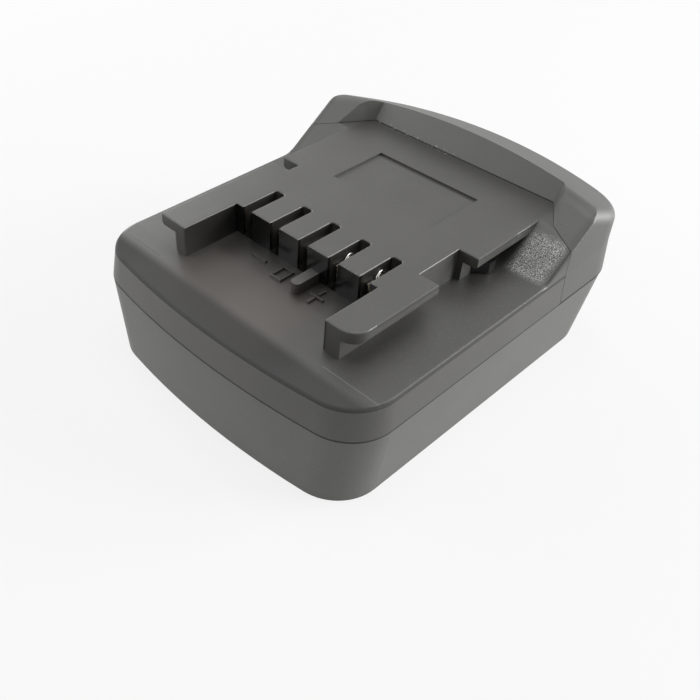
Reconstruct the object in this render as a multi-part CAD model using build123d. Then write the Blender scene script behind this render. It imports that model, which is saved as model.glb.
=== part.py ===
from build123d import *
import math
import os

# Slide-on adapter that lets one make of cordless tool run from another make's battery pack.
# The tool slides over the rails on top, coming from -Y. The pack slides into the channel underneath,
# coming from +Y. All sizes are in millimetres. A depth is measured in +Y from the front of the case,
# and a height in +Z from the flat bottom rim.

# Case, outside
LENGTH = 100.0
WIDTH = 79.7
PARTING_HEIGHT = 19.0
DECK_HEIGHT = 26.6
DECK_DRAFT = 0.85
SKIRT_DRAFT = 2.25
CROWN_DRAFT = 0.4
DECK_FRONT_SETBACK = 1.1
SKIRT_FRONT_SETBACK = 0.7
SKIRT_REAR_SETBACK = 1.4
REAR_STEP = 0.5
FRONT_ARC_RADIUS = 200.0
REAR_ARC_RADIUS = 150.0
FRONT_CORNER_RADIUS = 11.0
REAR_CORNER_RADIUS = 13.0
DECK_EDGE_RADIUS = 0.7
REAR_EDGE_RADIUS = 3.2
WALL = 2.0
OVERRUN = 5.0

# Deck crease, ramp and ridge
CREASE_DEPTH = 14.0
FRONT_FALL = 0.4
RIDGE_RISE = 14.46
RIDGE_BASE_SHARE = 0.814
RIDGE_HALF_WIDTH = 26.5
RIDGE_LEAN = 32.0
FACET_WIDTH = 5.5
SEAM_CORNER_LENGTH = 3.3
RAMP_FOOT_LENGTH = 18.6
RAMP_ANGLE = 35.5
RAMP_FOOT_RADIUS = 7.0
RAMP_TOP_RADIUS = 4.4
REAR_FALL_ANGLE = 21.8
CROWN_RADIUS = 180.0
STEEP_SLOPE = 0.3
FLAT_SLOPE = 0.5

# Rails and contact comb
RAIL_RISE = 7.33
RAIL_HALF_WIDTH = 28.43
RAIL_FRONT_SHARE = 0.141
RAIL_ARM_SHARE = 0.148
RAIL_OVERHANG = 3.6
LIP_THICKNESS = 2.7
LIP_CHAMFER = 0.5
RAIL_EDGE_RADIUS = 0.3
WEB_THICKNESS = 3.0
MOUTH_HALF_WIDTH = 20.68
RIGHT_FRONT_CORNER_RADIUS = 4.0
LEFT_FRONT_CORNER_RADIUS = 1.2
SLOT_PITCH = 8.62
SLOT_WIDTH = 2.81
SLOT_LENGTH = 10.3
SLOT_CORNER_RADIUS = 0.9
SLOT_COUNT = 5
RIGHT_NOTCH_FROM_COMB = 9.5
RIGHT_NOTCH_LENGTH = 12.9
LEFT_NOTCH_FROM_COMB = 18.2
LEFT_NOTCH_LENGTH = 3.7
NOTCH_REACH = 5.0
LABEL_HALF_WIDTH = 14.4
LABEL_FROM_RIDGE = 28.2
LABEL_LENGTH = 16.6
LABEL_SINK = 0.5
RIB_WIDTH = 2.5
RIB_LENGTH = 7.0
RIB_RISE = 2.7

# Gaps
SEAM_GAP = 0.12
SLIDE_GAP = 0.2
PIN_GAP = 0.2
SCREW_GAP = 0.05

# Pack channel in the lower shell
CHANNEL_HALF_WIDTH = 27.0
CHANNEL_FRONT_DEPTH = 4.8
ROOF_HEIGHT = 15.0
ROOF_THICKNESS = 2.6
CHANNEL_WALL = 1.8
GUIDE_REACH = 4.5
GUIDE_HEIGHT = 2.2
GUIDE_THICKNESS = 3.0
GUIDE_FROM_BLADES = 3.95
GUIDE_REAR_SETBACK = 6.0
GUIDE_LEAD_IN = 2.5
CATCH_POCKET_HALF_WIDTH = 8.0
CATCH_POCKET_LENGTH = 7.0
CATCH_POCKET_RISE = 3.6
CATCH_POCKET_WALL = 1.6
CATCH_POCKET_FROM_REAR = 16.0
STIFFENER_THICKNESS = 1.4
STIFFENER_SHARES = (0.31, 0.41, 0.51, 0.72, 0.82)
STIFFENER_HEIGHT = 6.0
SEAM_WALL = 2.4
LAP_RISE = 1.2
LAP_THICKNESS = 0.9
LAP_GAP = 0.3

# Screws
CASE_HEAD_RADIUS = 2.6
CASE_HEAD_HEIGHT = 1.8
CASE_SHANK_RADIUS = 1.4
CASE_SCREW_LENGTH = 16.0
KEY_HEAD_RADIUS = 2.2
KEY_HEAD_HEIGHT = 1.5
KEY_SHANK_RADIUS = 1.1
KEY_SCREW_LENGTH = 8.0
SMALL_HEAD_RADIUS = 1.8
SMALL_HEAD_HEIGHT = 1.3
SMALL_SHANK_RADIUS = 1.0
SMALL_SCREW_LENGTH = 4.0
DRIVE_RADIUS = 0.9
CASE_SCREW_INSET = 7.55
CASE_SCREW_FRONT_DEPTH = 20.0
CASE_SCREW_FROM_RAMP = 1.8
CASE_SCREW_SEAT_HEIGHT = 8.0
TOWER_RADIUS = 3.6
BOSS_RADIUS = 3.0

# Latch slide, catches and springs
KEY_TRAVEL = 3.5
CATCH_TRAVEL = 2.8
PLATE_HEIGHT = 24.2
PLATE_THICKNESS = 2.0
ARM_OUTER = 21.5
ARM_INNER = 9.5
ARM_REACH = 5.2
CROSSBAR_FROM_CATCH = 0.4
CROSSBAR_LENGTH = 3.6
REAR_PLATE_LENGTH = 9.0
REAR_PLATE_INSET = 7.5
CATCH_FROM_RAMP = 3.0
CATCH_LENGTH = 4.8
CATCH_INNER = 10.5
CATCH_TIP = 27.6
TOOTH_THICKNESS = 2.4
TOOTH_LIFT = 0.35
TOOTH_RAMP = 2.7
SUPPORT_OFFSET = 16.0
HOLD_DOWN_OFFSET = 12.0
SUPPORT_THICKNESS = 1.4
SUPPORT_FROM_CROSSBAR = 2.7
SUPPORT_LENGTH = 7.0
CAM_PIN_RADIUS = 1.25
CAM_PIN_OFFSET = 15.5
CATCH_GUIDE_THICKNESS = 1.2
KEY_BOSS_OFFSET = 14.5
KEY_BOSS_RADIUS = 2.8
SPRING_OFFSET = 6.2
SPRING_RADIUS = 2.2
SPRING_WIRE_RADIUS = 0.3
SPRING_TURNS = 6
SPRING_LIFT = 3.3
GUIDE_PIN_RADIUS = 1.2
SEAT_LENGTH = 2.8
SEAT_WIDTH = 6.6
LUG_WIDTH = 5.6
PIN_OVERHANG = 1.4
SPRING_END_GAP = 0.15

# Contact carrier and tool contacts
CARRIER_FROM_COMB = 0.7
CARRIER_LENGTH = 11.6
CARRIER_SIDE = 3.2
POCKET_WIDTH = 2.7
POCKET_FRONT_WALL = 1.4
CONTACT_LENGTH = 7.0
CONTACT_HALF_WIDTH = 1.1
CONTACT_SHEET = 0.4
CONTACT_PINCH = 0.42
CONTACT_TOP_DROP = 3.0
CONTACT_FLARE = 0.36
CONTACT_BEND_SHARE = 0.45
CONTACT_PINCH_SHARE = 0.82
CONTACT_TAIL_WIDTH = 1.8
CONTACT_TAIL_LANDING = 3.2
GROOVE_WIDTH = 1.8
GROOVE_SINK = 2.0
CARRIER_SCREW_SEAT = 2.0

# Circuit board and its parts
BOARD_HALF_WIDTH = 20.0
BOARD_FROM_CARRIER = 1.4
BOARD_FROM_PIN = 1.6
BOARD_THICKNESS = 1.6
BOARD_STAND = 0.8
BOARD_CORNER_RADIUS = 1.5
BOARD_SCREW_OFFSET = 17.0
BOARD_SCREW_SHARE = 0.78
CHIP_WIDTH = 6.0
CHIP_LENGTH = 5.0
CHIP_HEIGHT = 1.5
CHIP_OFFSET = 11.5
CHIP_LEG_COUNT = 4
CHIP_LEG_WIDTH = 0.5
CHIP_LEG_REACH = 0.9
CHIP_LEG_THICKNESS = 0.3
CAPACITOR_RADIUS = 3.6
CAPACITOR_HEIGHT = 7.6
CAPACITOR_GROOVE = 0.35

# Terminal block and pack blades
BLOCK_HALF_WIDTH = 22.0
BLOCK_LENGTH = 17.0
BLOCK_BOTTOM_HEIGHT = 3.2
NECK_HALF_WIDTH = 19.8
NECK_FRONT_DEPTH = 8.0
NECK_LENGTH = 7.4
NECK_RISE = 0.9
BLADE_THICKNESS = 0.8
BLADE_BOTTOM_HEIGHT = 6.0
BLADE_REACH = 14.0
BLADE_FRONT_DEPTH = 9.4
RISER_LENGTH = 3.6
RISER_RISE = 5.3
BLADE_PITCH = 8.3
POWER_BLADE_HEIGHT = 6.2
SIGNAL_BLADE_HEIGHT = 4.2
SIGNAL_BLADE_SHORTER = 2.0
BLOCK_SCREW_INSET = 3.3
BLOCK_SCREW_SINK = 1.8

# Leads
POWER_LEAD_RADIUS = 1.1
SIGNAL_LEAD_RADIUS = 0.6
LEAD_DROP = 1.5
LEAD_BOARD_GAP = 0.3
POWER_LEAD_OFFSET = 24.4
POWER_LEAD_END_OFFSET = 17.0
POWER_LEAD_LANDING = 6.4
LEAD_BEND_SHARE = 0.45

# Worked out from the sizes above
HALF_WIDTH = WIDTH / 2
PLATEAU_HEIGHT = DECK_HEIGHT + RAIL_RISE
CREST_HEIGHT = DECK_HEIGHT + RIDGE_RISE
RAIL_FRONT_DEPTH = RAIL_FRONT_SHARE * LENGTH
COMB_DEPTH = RAIL_FRONT_DEPTH + RAIL_ARM_SHARE * LENGTH
RIGHT_NOTCH_DEPTH = COMB_DEPTH + RIGHT_NOTCH_FROM_COMB
LEFT_NOTCH_DEPTH = COMB_DEPTH + LEFT_NOTCH_FROM_COMB
RIDGE_BASE = RIDGE_BASE_SHARE * LENGTH
LABEL_FRONT_DEPTH = RIDGE_BASE - LABEL_FROM_RIDGE
RAMP_FOOT = RIDGE_BASE - RAMP_FOOT_LENGTH
FACET_FRONT = RAMP_FOOT + RAIL_RISE / math.tan(math.radians(RAMP_ANGLE))
SEAM_SIDE = FACET_FRONT - SEAM_CORNER_LENGTH
FACET_HALF_WIDTH = RIDGE_HALF_WIDTH + FACET_WIDTH
WEB_HALF_WIDTH = RAIL_HALF_WIDTH - RAIL_OVERHANG
HOLLOW_HALF_WIDTH = WEB_HALF_WIDTH - WEB_THICKNESS
SLOT_END_DEPTH = COMB_DEPTH + SLOT_LENGTH
HOLLOW_FRONT_DEPTH = SLOT_END_DEPTH + WALL
SEAM_WALL_FRONT = RIDGE_BASE - SEAM_WALL
TRAY_HEIGHT = ROOF_HEIGHT + ROOF_THICKNESS
DECK_UNDERSIDE = DECK_HEIGHT - WALL
PLATEAU_UNDERSIDE = PLATEAU_HEIGHT - WALL
PLATE_TOP = PLATE_HEIGHT + PLATE_THICKNESS
BOARD_BOTTOM = TRAY_HEIGHT + BOARD_STAND
BOARD_TOP = BOARD_BOTTOM + BOARD_THICKNESS
BLOCK_FRONT_DEPTH = CHANNEL_FRONT_DEPTH + SEAM_GAP
BLOCK_REAR_DEPTH = BLOCK_FRONT_DEPTH + BLOCK_LENGTH
GUIDE_FRONT_DEPTH = BLOCK_REAR_DEPTH + BLADE_REACH + GUIDE_FROM_BLADES
SPRING_HEIGHT = TRAY_HEIGHT + SPRING_LIFT
CATCH_DEPTH = RAMP_FOOT - CATCH_FROM_RAMP - CATCH_LENGTH
CATCH_MID_DEPTH = CATCH_DEPTH + CATCH_LENGTH / 2
ARM_FRONT_DEPTH = CATCH_DEPTH - ARM_REACH
CROSSBAR_DEPTH = CATCH_DEPTH + CATCH_LENGTH + CROSSBAR_FROM_CATCH
SEAT_DEPTH = SEAM_WALL_FRONT - SLIDE_GAP - SEAT_LENGTH
CASE_SCREW = (CASE_HEAD_RADIUS, CASE_HEAD_HEIGHT, CASE_SHANK_RADIUS, CASE_SCREW_LENGTH)
KEY_SCREW = (KEY_HEAD_RADIUS, KEY_HEAD_HEIGHT, KEY_SHANK_RADIUS, KEY_SCREW_LENGTH)
SMALL_SCREW = (SMALL_HEAD_RADIUS, SMALL_HEAD_HEIGHT, SMALL_SHANK_RADIUS, SMALL_SCREW_LENGTH)
CASE_SCREW_HALF_SPAN = HALF_WIDTH - CASE_SCREW_INSET
CASE_SCREW_REAR_DEPTH = RAMP_FOOT - CASE_SCREW_FROM_RAMP
SLOT_OFFSETS = [(k - (SLOT_COUNT - 1) / 2) * SLOT_PITCH for k in range(SLOT_COUNT)]
CONTACT_NAMES = ["negative_contact", "left_signal_contact", "middle_signal_contact",
                 "right_signal_contact", "positive_contact"]
REAR_PLATE_REAR = LENGTH - REAR_PLATE_INSET
REAR_PLATE_FRONT = REAR_PLATE_REAR - REAR_PLATE_LENGTH
KEY_BOSS_DEPTH = (REAR_PLATE_FRONT + REAR_PLATE_REAR) / 2
CROSSBAR_REAR = CROSSBAR_DEPTH + CROSSBAR_LENGTH
SUPPORT_DEPTH = CROSSBAR_REAR + SUPPORT_FROM_CROSSBAR
CARRIER_FRONT_DEPTH = COMB_DEPTH + CARRIER_FROM_COMB
CARRIER_REAR_DEPTH = CARRIER_FRONT_DEPTH + CARRIER_LENGTH
CARRIER_TOP = DECK_UNDERSIDE - SLIDE_GAP
BOARD_FRONT_DEPTH = CARRIER_REAR_DEPTH + BOARD_FROM_CARRIER
BOARD_LENGTH = CROSSBAR_DEPTH - PIN_OVERHANG - BOARD_FROM_PIN - BOARD_FRONT_DEPTH
BOARD_SCREW_DEPTH = BOARD_FRONT_DEPTH + BOARD_SCREW_SHARE * BOARD_LENGTH
CONTACT_FRONT_DEPTH = CARRIER_FRONT_DEPTH + POCKET_FRONT_WALL + SLIDE_GAP
RISER_TOP = TRAY_HEIGHT + RISER_RISE
LEAD_HEIGHT = RISER_TOP - LEAD_DROP


def back(depth):
    """Y of a point that lies this depth behind the front of the case."""
    return depth - LENGTH / 2


def slab(x_range, depth_range, height_range):
    """Straight block between two widths, two depths and two heights."""
    size = [abs(high - low) for low, high in (x_range, depth_range, height_range)]
    middle = [(low + high) / 2 for low, high in (x_range, depth_range, height_range)]
    return Pos(middle[0], back(middle[1]), middle[2]) * Box(*size)


def post(x, depth, height_range, radius):
    """Upright cylinder between two heights."""
    low, high = height_range
    return Pos(x, back(depth), (low + high) / 2) * Cylinder(radius, high - low)


def prism(points, height_range):
    """Upright prism over a plan outline of (x, depth) points."""
    low, high = height_range
    outline = make_face(Polyline(*[(x, back(depth)) for x, depth in points], close=True))
    return Pos(0, 0, low) * extrude(outline, high - low)


def both_sides(points):
    """A right-hand run of plan points, followed by its mirror image in reverse."""
    return points + [(-x, depth) for x, depth in reversed(points)]


def bow(half_width, radius):
    """How far an arc of this radius falls back at the half width."""
    return radius - math.sqrt(radius ** 2 - half_width ** 2)


def case_outline(half_width, front, rear, inset=0):
    """Plan of the case: bowed front and rear, straight sides, rounded corners."""
    half_width, front, rear = half_width - inset, front + inset, rear - inset
    front_side = front + bow(half_width, FRONT_ARC_RADIUS)
    rear_side = rear - bow(half_width, REAR_ARC_RADIUS)
    left_front, right_front = (-half_width, back(front_side)), (half_width, back(front_side))
    left_rear, right_rear = (-half_width, back(rear_side)), (half_width, back(rear_side))
    plan = make_face(Curve() + [
        ThreePointArc(left_front, (0, back(front)), right_front),
        Line(right_front, right_rear),
        ThreePointArc(right_rear, (0, back(rear)), left_rear),
        Line(left_rear, left_front),
    ])
    plan = fillet(plan.vertices().sort_by(Axis.Y)[:2], FRONT_CORNER_RADIUS - inset)
    return fillet(plan.vertices().sort_by(Axis.Y)[-2:], REAR_CORNER_RADIUS - inset)


def level(height):
    """Half width, front and rear of the case at one of its four heights."""
    deck_half = HALF_WIDTH - DECK_DRAFT
    return {
        0: (HALF_WIDTH - SKIRT_DRAFT, SKIRT_FRONT_SETBACK, LENGTH - SKIRT_REAR_SETBACK),
        PARTING_HEIGHT: (HALF_WIDTH, 0, LENGTH),
        DECK_HEIGHT: (deck_half, DECK_FRONT_SETBACK, LENGTH),
        CREST_HEIGHT + OVERRUN: (deck_half - CROWN_DRAFT, DECK_FRONT_SETBACK, LENGTH - CROWN_DRAFT),
    }[height]


def case_block(low, high, inset=0, rear_step=0):
    """Drafted block of the case between two of its heights, drawn in by the inset."""
    sections = []
    for height in (low, high):
        half_width, front, rear = level(height)
        sections.append(Pos(0, 0, height) * case_outline(half_width, front, rear - rear_step, inset))
    return loft(sections, ruled=True)


def side_profile(drop):
    """Everything under the deck, its front slope, the ramp and the ramp's run-out, seen from the side."""
    deck = DECK_HEIGHT - drop
    top = CREST_HEIGHT + OVERRUN
    run = (top - deck) / math.tan(math.radians(RAMP_ANGLE))
    outline = make_face(Polyline(
        (back(-OVERRUN), 0), (back(-OVERRUN), deck - FRONT_FALL * (1 + OVERRUN / CREASE_DEPTH)),
        (back(CREASE_DEPTH), deck), (back(RAMP_FOOT), deck), (back(RAMP_FOOT + run), top),
        (back(LENGTH + OVERRUN), top), (back(LENGTH + OVERRUN), 0), close=True))
    foot = outline.vertices().sort_by_distance(Vector(back(RAMP_FOOT), deck, 0))[0]
    return extrude(Plane.YZ * fillet(foot, RAMP_FOOT_RADIUS), WIDTH, both=True)


def above_crown(drop):
    """Space over the arched ridge, whose top falls to the rear."""
    fall = math.radians(REAR_FALL_ANGLE)
    crest = CREST_HEIGHT - drop + (RIDGE_BASE - RAMP_FOOT) * math.tan(fall)
    side = crest - bow(WIDTH, CROWN_RADIUS)
    top = CREST_HEIGHT + WIDTH
    arch = Plane.XZ * make_face(Curve() + [
        ThreePointArc((-WIDTH, side), (0, crest), (WIDTH, side)),
        Polyline((WIDTH, side), (WIDTH, top), (-WIDTH, top), (-WIDTH, side)),
    ])
    return extrude(Pos(0, back(RAMP_FOOT), 0) * arch, LENGTH, dir=(0, math.cos(fall), -math.sin(fall)))


def is_rim(body, edge):
    """True for an edge where a top face turns down into an outer wall."""
    middle = edge.position_at(0.5)
    touching = [face for face in body.faces() if any(edge.is_same(other) for other in face.edges())]
    steepest, flattest = sorted(abs(face.normal_at(middle).Z) for face in touching)
    return middle.Z > DECK_HEIGHT - 2 * FRONT_FALL and steepest < STEEP_SLOPE and flattest > FLAT_SLOPE


def upper_case():
    """Whole upper case as one block: band, deck, ramp and arched ridge, with its edges rounded."""
    body = case_block(PARTING_HEIGHT, DECK_HEIGHT) + case_block(DECK_HEIGHT, CREST_HEIGHT + OVERRUN)
    body = (body & side_profile(0)) - above_crown(0)
    ramp_top = body.edges().sort_by_distance(Vector(0, back(RIDGE_BASE), CREST_HEIGHT))[0]
    softened = fillet(ramp_top, RAMP_TOP_RADIUS)
    rear_rims = [edge for edge in body.edges() if is_rim(body, edge) and edge.position_at(0.5).Y > back(RIDGE_BASE)]
    body = fillet(rear_rims, REAR_EDGE_RADIUS)
    deck_rims = [edge for edge in body.edges() if is_rim(body, edge) and edge.position_at(0.5).Y < back(RAMP_FOOT)]
    return fillet(deck_rims, DECK_EDGE_RADIUS) & softened


def behind_seam(shift):
    """Space that the release key takes up behind the seam, moved to the rear by the shift."""
    points = both_sides([
        (WIDTH, LENGTH + WIDTH), (WIDTH, SEAM_SIDE + shift), (HALF_WIDTH, SEAM_SIDE + shift),
        (FACET_HALF_WIDTH, FACET_FRONT + shift), (RIDGE_HALF_WIDTH, RIDGE_BASE + shift)])
    return prism(points, (PARTING_HEIGHT - OVERRUN, CREST_HEIGHT + OVERRUN))


def tool_seat(wall):
    """Splayed recess in front of the ridge, thickened by a wall. Its faces lean to the rear."""
    outline = make_face(Polyline(*[(x, back(depth)) for x, depth in both_sides([
        (FACET_HALF_WIDTH + wall, RAMP_FOOT), (FACET_HALF_WIDTH + wall, FACET_FRONT + wall / 2),
        (RIDGE_HALF_WIDTH + wall / 2, RIDGE_BASE + wall)])], close=True))
    lean = math.radians(RIDGE_LEAN)
    rise = RIDGE_RISE + OVERRUN
    return extrude(Pos(0, 0, PLATEAU_HEIGHT - wall) * outline, rise / math.cos(lean),
                   dir=(0, math.sin(lean), math.cos(lean)))


def case_hollow():
    """Inside of the upper case, one wall thickness in from its skin."""
    hollow = case_block(PARTING_HEIGHT, DECK_HEIGHT, WALL)
    hollow = hollow + case_block(DECK_HEIGHT, CREST_HEIGHT + OVERRUN, WALL)
    return hollow & side_profile(WALL)


def contact_slots():
    """Five slots in the comb, with rounded far ends, cut down through the deck."""
    slots = []
    for x in SLOT_OFFSETS:
        slot = slab((x - SLOT_WIDTH / 2, x + SLOT_WIDTH / 2), (COMB_DEPTH, SLOT_END_DEPTH),
                    (DECK_UNDERSIDE - WALL, PLATEAU_HEIGHT + WALL))
        ends = slot.edges().filter_by(Axis.Z).group_by(Axis.Y)[-1]
        slots.append(fillet(ends, SLOT_CORNER_RADIUS))
    return slots


def rails():
    """T-shaped rails and the comb between them, with the mouth, the slots and the two unlike notches."""
    depths = (RAIL_FRONT_DEPTH, FACET_FRONT + RAIL_EDGE_RADIUS)
    lip = slab((-RAIL_HALF_WIDTH, RAIL_HALF_WIDTH), depths, (PLATEAU_HEIGHT - LIP_THICKNESS, PLATEAU_HEIGHT))
    lower_edges = lip.edges().filter_by(Axis.Y).group_by(Axis.Z)[0]
    lip = chamfer(lower_edges, LIP_CHAMFER)
    front_right = lip.edges().filter_by(Axis.Z).group_by(Axis.Y)[0].sort_by(Axis.X)[-1]
    lip = fillet(front_right, RIGHT_FRONT_CORNER_RADIUS)
    web = slab((-WEB_HALF_WIDTH, WEB_HALF_WIDTH), depths, (DECK_HEIGHT - WALL / 2, PLATEAU_HEIGHT))
    body = lip + web
    mouth = slab((-MOUTH_HALF_WIDTH, MOUTH_HALF_WIDTH), (0, COMB_DEPTH),
                 (DECK_HEIGHT - WALL, PLATEAU_HEIGHT + WALL))
    body = body - mouth
    front_left = body.edges().filter_by(Axis.Z).group_by(Axis.Y)[0].sort_by(Axis.X)[1]
    body = fillet(front_left, LEFT_FRONT_CORNER_RADIUS)
    notch_inner = RAIL_HALF_WIDTH - NOTCH_REACH
    notch_heights = (DECK_HEIGHT, PLATEAU_HEIGHT + WALL)
    right = slab((notch_inner, WIDTH), (RIGHT_NOTCH_DEPTH, RIGHT_NOTCH_DEPTH + RIGHT_NOTCH_LENGTH), notch_heights)
    left = slab((-WIDTH, -notch_inner), (LEFT_NOTCH_DEPTH, LEFT_NOTCH_DEPTH + LEFT_NOTCH_LENGTH), notch_heights)
    body = body - right - left - contact_slots()
    top_edges = [edge for edge in body.faces().sort_by(Axis.Z)[-1].edges()
                 if edge.position_at(0.5).Y < back(FACET_FRONT)]
    return fillet(top_edges, RAIL_EDGE_RADIUS)


def locating_rib():
    """Small rib on the deck, in line with a comb finger, that keeps a wrong tool off."""
    middle = SLOT_PITCH / 2
    rib = slab((middle - RIB_WIDTH / 2, middle + RIB_WIDTH / 2), (COMB_DEPTH - RIB_LENGTH, COMB_DEPTH + WALL),
               (DECK_HEIGHT - WALL / 2, DECK_HEIGHT + RIB_RISE))
    return fillet(rib.edges().filter_by(Axis.Z).group_by(Axis.Y)[0], RIB_WIDTH * 0.4)


def case_screw_places():
    """The four places where the two shells are screwed together."""
    return [(side * CASE_SCREW_HALF_SPAN, depth) for side in (-1, 1)
            for depth in (CASE_SCREW_FRONT_DEPTH, CASE_SCREW_REAR_DEPTH)]


def top_cover():
    """Upper shell: deck, rails, comb and ramp over a hollow that holds the contacts and the latch."""
    cover = upper_case() - behind_seam(0) - tool_seat(0)
    cover = cover + rails() + locating_rib()
    hollow = case_hollow() - behind_seam(-SEAM_WALL)
    hollow = hollow & slab((-WIDTH, WIDTH), (0, LENGTH), (0, PLATEAU_UNDERSIDE))
    cover = cover - hollow
    cover = cover - slab((-HOLLOW_HALF_WIDTH, HOLLOW_HALF_WIDTH), (HOLLOW_FRONT_DEPTH, SEAM_WALL_FRONT),
                         (DECK_UNDERSIDE - WALL, PLATEAU_UNDERSIDE))
    cover = cover - slab((-HOLLOW_HALF_WIDTH, HOLLOW_HALF_WIDTH), (SEAM_WALL_FRONT - WALL, RIDGE_BASE + WALL),
                         (0, PLATE_TOP + SLIDE_GAP))
    cover = cover - contact_slots()
    cover = cover - slab((-LABEL_HALF_WIDTH, LABEL_HALF_WIDTH), (LABEL_FRONT_DEPTH, LABEL_FRONT_DEPTH + LABEL_LENGTH),
                         (PLATEAU_HEIGHT - LABEL_SINK, PLATEAU_HEIGHT + WALL))
    head_radius, head_height, shank_radius, length = CASE_SCREW
    for x, depth in case_screw_places():
        cover = cover + post(x, depth, (PARTING_HEIGHT, DECK_UNDERSIDE + WALL / 2), BOSS_RADIUS)
        cover = cover - post(x, depth, (0, CASE_SCREW_SEAT_HEIGHT + length + SCREW_GAP), shank_radius + SCREW_GAP)
    window_low = DECK_HEIGHT + TOOTH_LIFT - SLIDE_GAP
    window_high = DECK_HEIGHT + TOOTH_LIFT + TOOTH_THICKNESS + SLIDE_GAP
    catch_front, catch_rear = CATCH_DEPTH - SLIDE_GAP, CATCH_DEPTH + CATCH_LENGTH + SLIDE_GAP
    guide_heights = (PLATE_TOP + SLIDE_GAP, PLATEAU_UNDERSIDE + WALL / 2)
    for side in (-1, 1):
        cover = cover - slab((side * (HOLLOW_HALF_WIDTH - WALL), side * (WEB_HALF_WIDTH + WALL)),
                             (catch_front, catch_rear), (window_low, window_high))
        for low in (catch_front - CATCH_GUIDE_THICKNESS, catch_rear):
            cover = cover + slab((side * CATCH_INNER, side * (HOLLOW_HALF_WIDTH + WALL / 2)),
                                 (low, low + CATCH_GUIDE_THICKNESS), guide_heights)
        cover = cover + slab((side * HOLD_DOWN_OFFSET, side * (HOLD_DOWN_OFFSET + SUPPORT_THICKNESS)),
                             (SUPPORT_DEPTH, SUPPORT_DEPTH + SUPPORT_LENGTH), guide_heights)
    return cover


def release_key():
    """Rear cap with the arched ridge. It is pulled to the rear to let the tool go."""
    outside = (upper_case() & behind_seam(SEAM_GAP)) - tool_seat(0)
    outside = outside - slab((-WIDTH, WIDTH), (0, LENGTH + WIDTH), (0, PARTING_HEIGHT + SEAM_GAP))
    hollow = case_hollow() - above_crown(WALL) - tool_seat(WALL)
    key = outside - hollow
    head_radius, head_height, shank_radius, length = KEY_SCREW
    for side in (-1, 1):
        x = side * KEY_BOSS_OFFSET
        boss = post(x, KEY_BOSS_DEPTH, (PLATE_TOP, CREST_HEIGHT), KEY_BOSS_RADIUS)
        gusset = slab((x - SUPPORT_THICKNESS / 2, x + SUPPORT_THICKNESS / 2), (KEY_BOSS_DEPTH, LENGTH),
                      (PLATE_TOP + SLIDE_GAP, CREST_HEIGHT))
        key = key + ((boss + gusset) & outside)
        key = key - post(x, KEY_BOSS_DEPTH, (PLATE_HEIGHT, PLATE_HEIGHT + length + SCREW_GAP), shank_radius + SCREW_GAP)
    return key


def lower_shell():
    """Tapered skirt with the pack channel, its guide lips, the tray above it and the screw towers."""
    outside = case_block(0, PARTING_HEIGHT, 0, REAR_STEP)
    inside = case_block(0, PARTING_HEIGHT, WALL, REAR_STEP)
    core_half = CHANNEL_HALF_WIDTH + CHANNEL_WALL
    core = slab((-core_half, core_half), (0, LENGTH), (0, PARTING_HEIGHT))
    side_pockets = (inside & slab((-WIDTH, WIDTH), (0, LENGTH), (0, ROOF_HEIGHT))) - core
    tray = inside & slab((-WIDTH, WIDTH), (0, LENGTH), (TRAY_HEIGHT, PARTING_HEIGHT))
    shell = outside - side_pockets - tray
    shell = shell - slab((-CHANNEL_HALF_WIDTH, CHANNEL_HALF_WIDTH), (CHANNEL_FRONT_DEPTH, LENGTH + OVERRUN),
                         (-OVERRUN, ROOF_HEIGHT))
    shell = shell + guide_lips() + lap_rim() + slide_supports()
    for share in STIFFENER_SHARES:
        rib = slab((-WIDTH, WIDTH), (share * LENGTH, share * LENGTH + STIFFENER_THICKNESS),
                   (STIFFENER_HEIGHT, ROOF_HEIGHT + ROOF_THICKNESS / 2))
        shell = shell + ((rib & outside) - slab((-CHANNEL_HALF_WIDTH, CHANNEL_HALF_WIDTH), (0, LENGTH), (0, ROOF_HEIGHT)))
    head_radius, head_height, shank_radius, length = CASE_SCREW
    for x, depth in case_screw_places():
        shell = shell + post(x, depth, (0, PARTING_HEIGHT), TOWER_RADIUS)
        shell = shell - post(x, depth, (-OVERRUN, CASE_SCREW_SEAT_HEIGHT), head_radius + SLIDE_GAP)
        shell = shell - post(x, depth, (0, PARTING_HEIGHT + WALL), shank_radius + SCREW_GAP)
    shell = shell - slab((-NECK_HALF_WIDTH - SLIDE_GAP, NECK_HALF_WIDTH + SLIDE_GAP),
                         (NECK_FRONT_DEPTH - SLIDE_GAP, NECK_FRONT_DEPTH + NECK_LENGTH + SLIDE_GAP),
                         (ROOF_HEIGHT - WALL, TRAY_HEIGHT + WALL))
    shell = shell + catch_pocket() - catch_pocket_space()
    return shell - small_screw_holes()


def guide_lips():
    """Two lips along the channel that hold the pack up, with lead-ins at the rear."""
    lips = []
    for side in (-1, 1):
        lip = slab((side * (CHANNEL_HALF_WIDTH - GUIDE_REACH), side * (CHANNEL_HALF_WIDTH + CHANNEL_WALL / 2)),
                   (GUIDE_FRONT_DEPTH, LENGTH - GUIDE_REAR_SETBACK), (GUIDE_HEIGHT, GUIDE_HEIGHT + GUIDE_THICKNESS))
        inner_rear = lip.edges().filter_by(Axis.Z).group_by(Axis.Y)[-1].sort_by(Axis.X)[0 if side > 0 else -1]
        lips.append(chamfer(inner_rear, GUIDE_LEAD_IN))
    return lips


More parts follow.
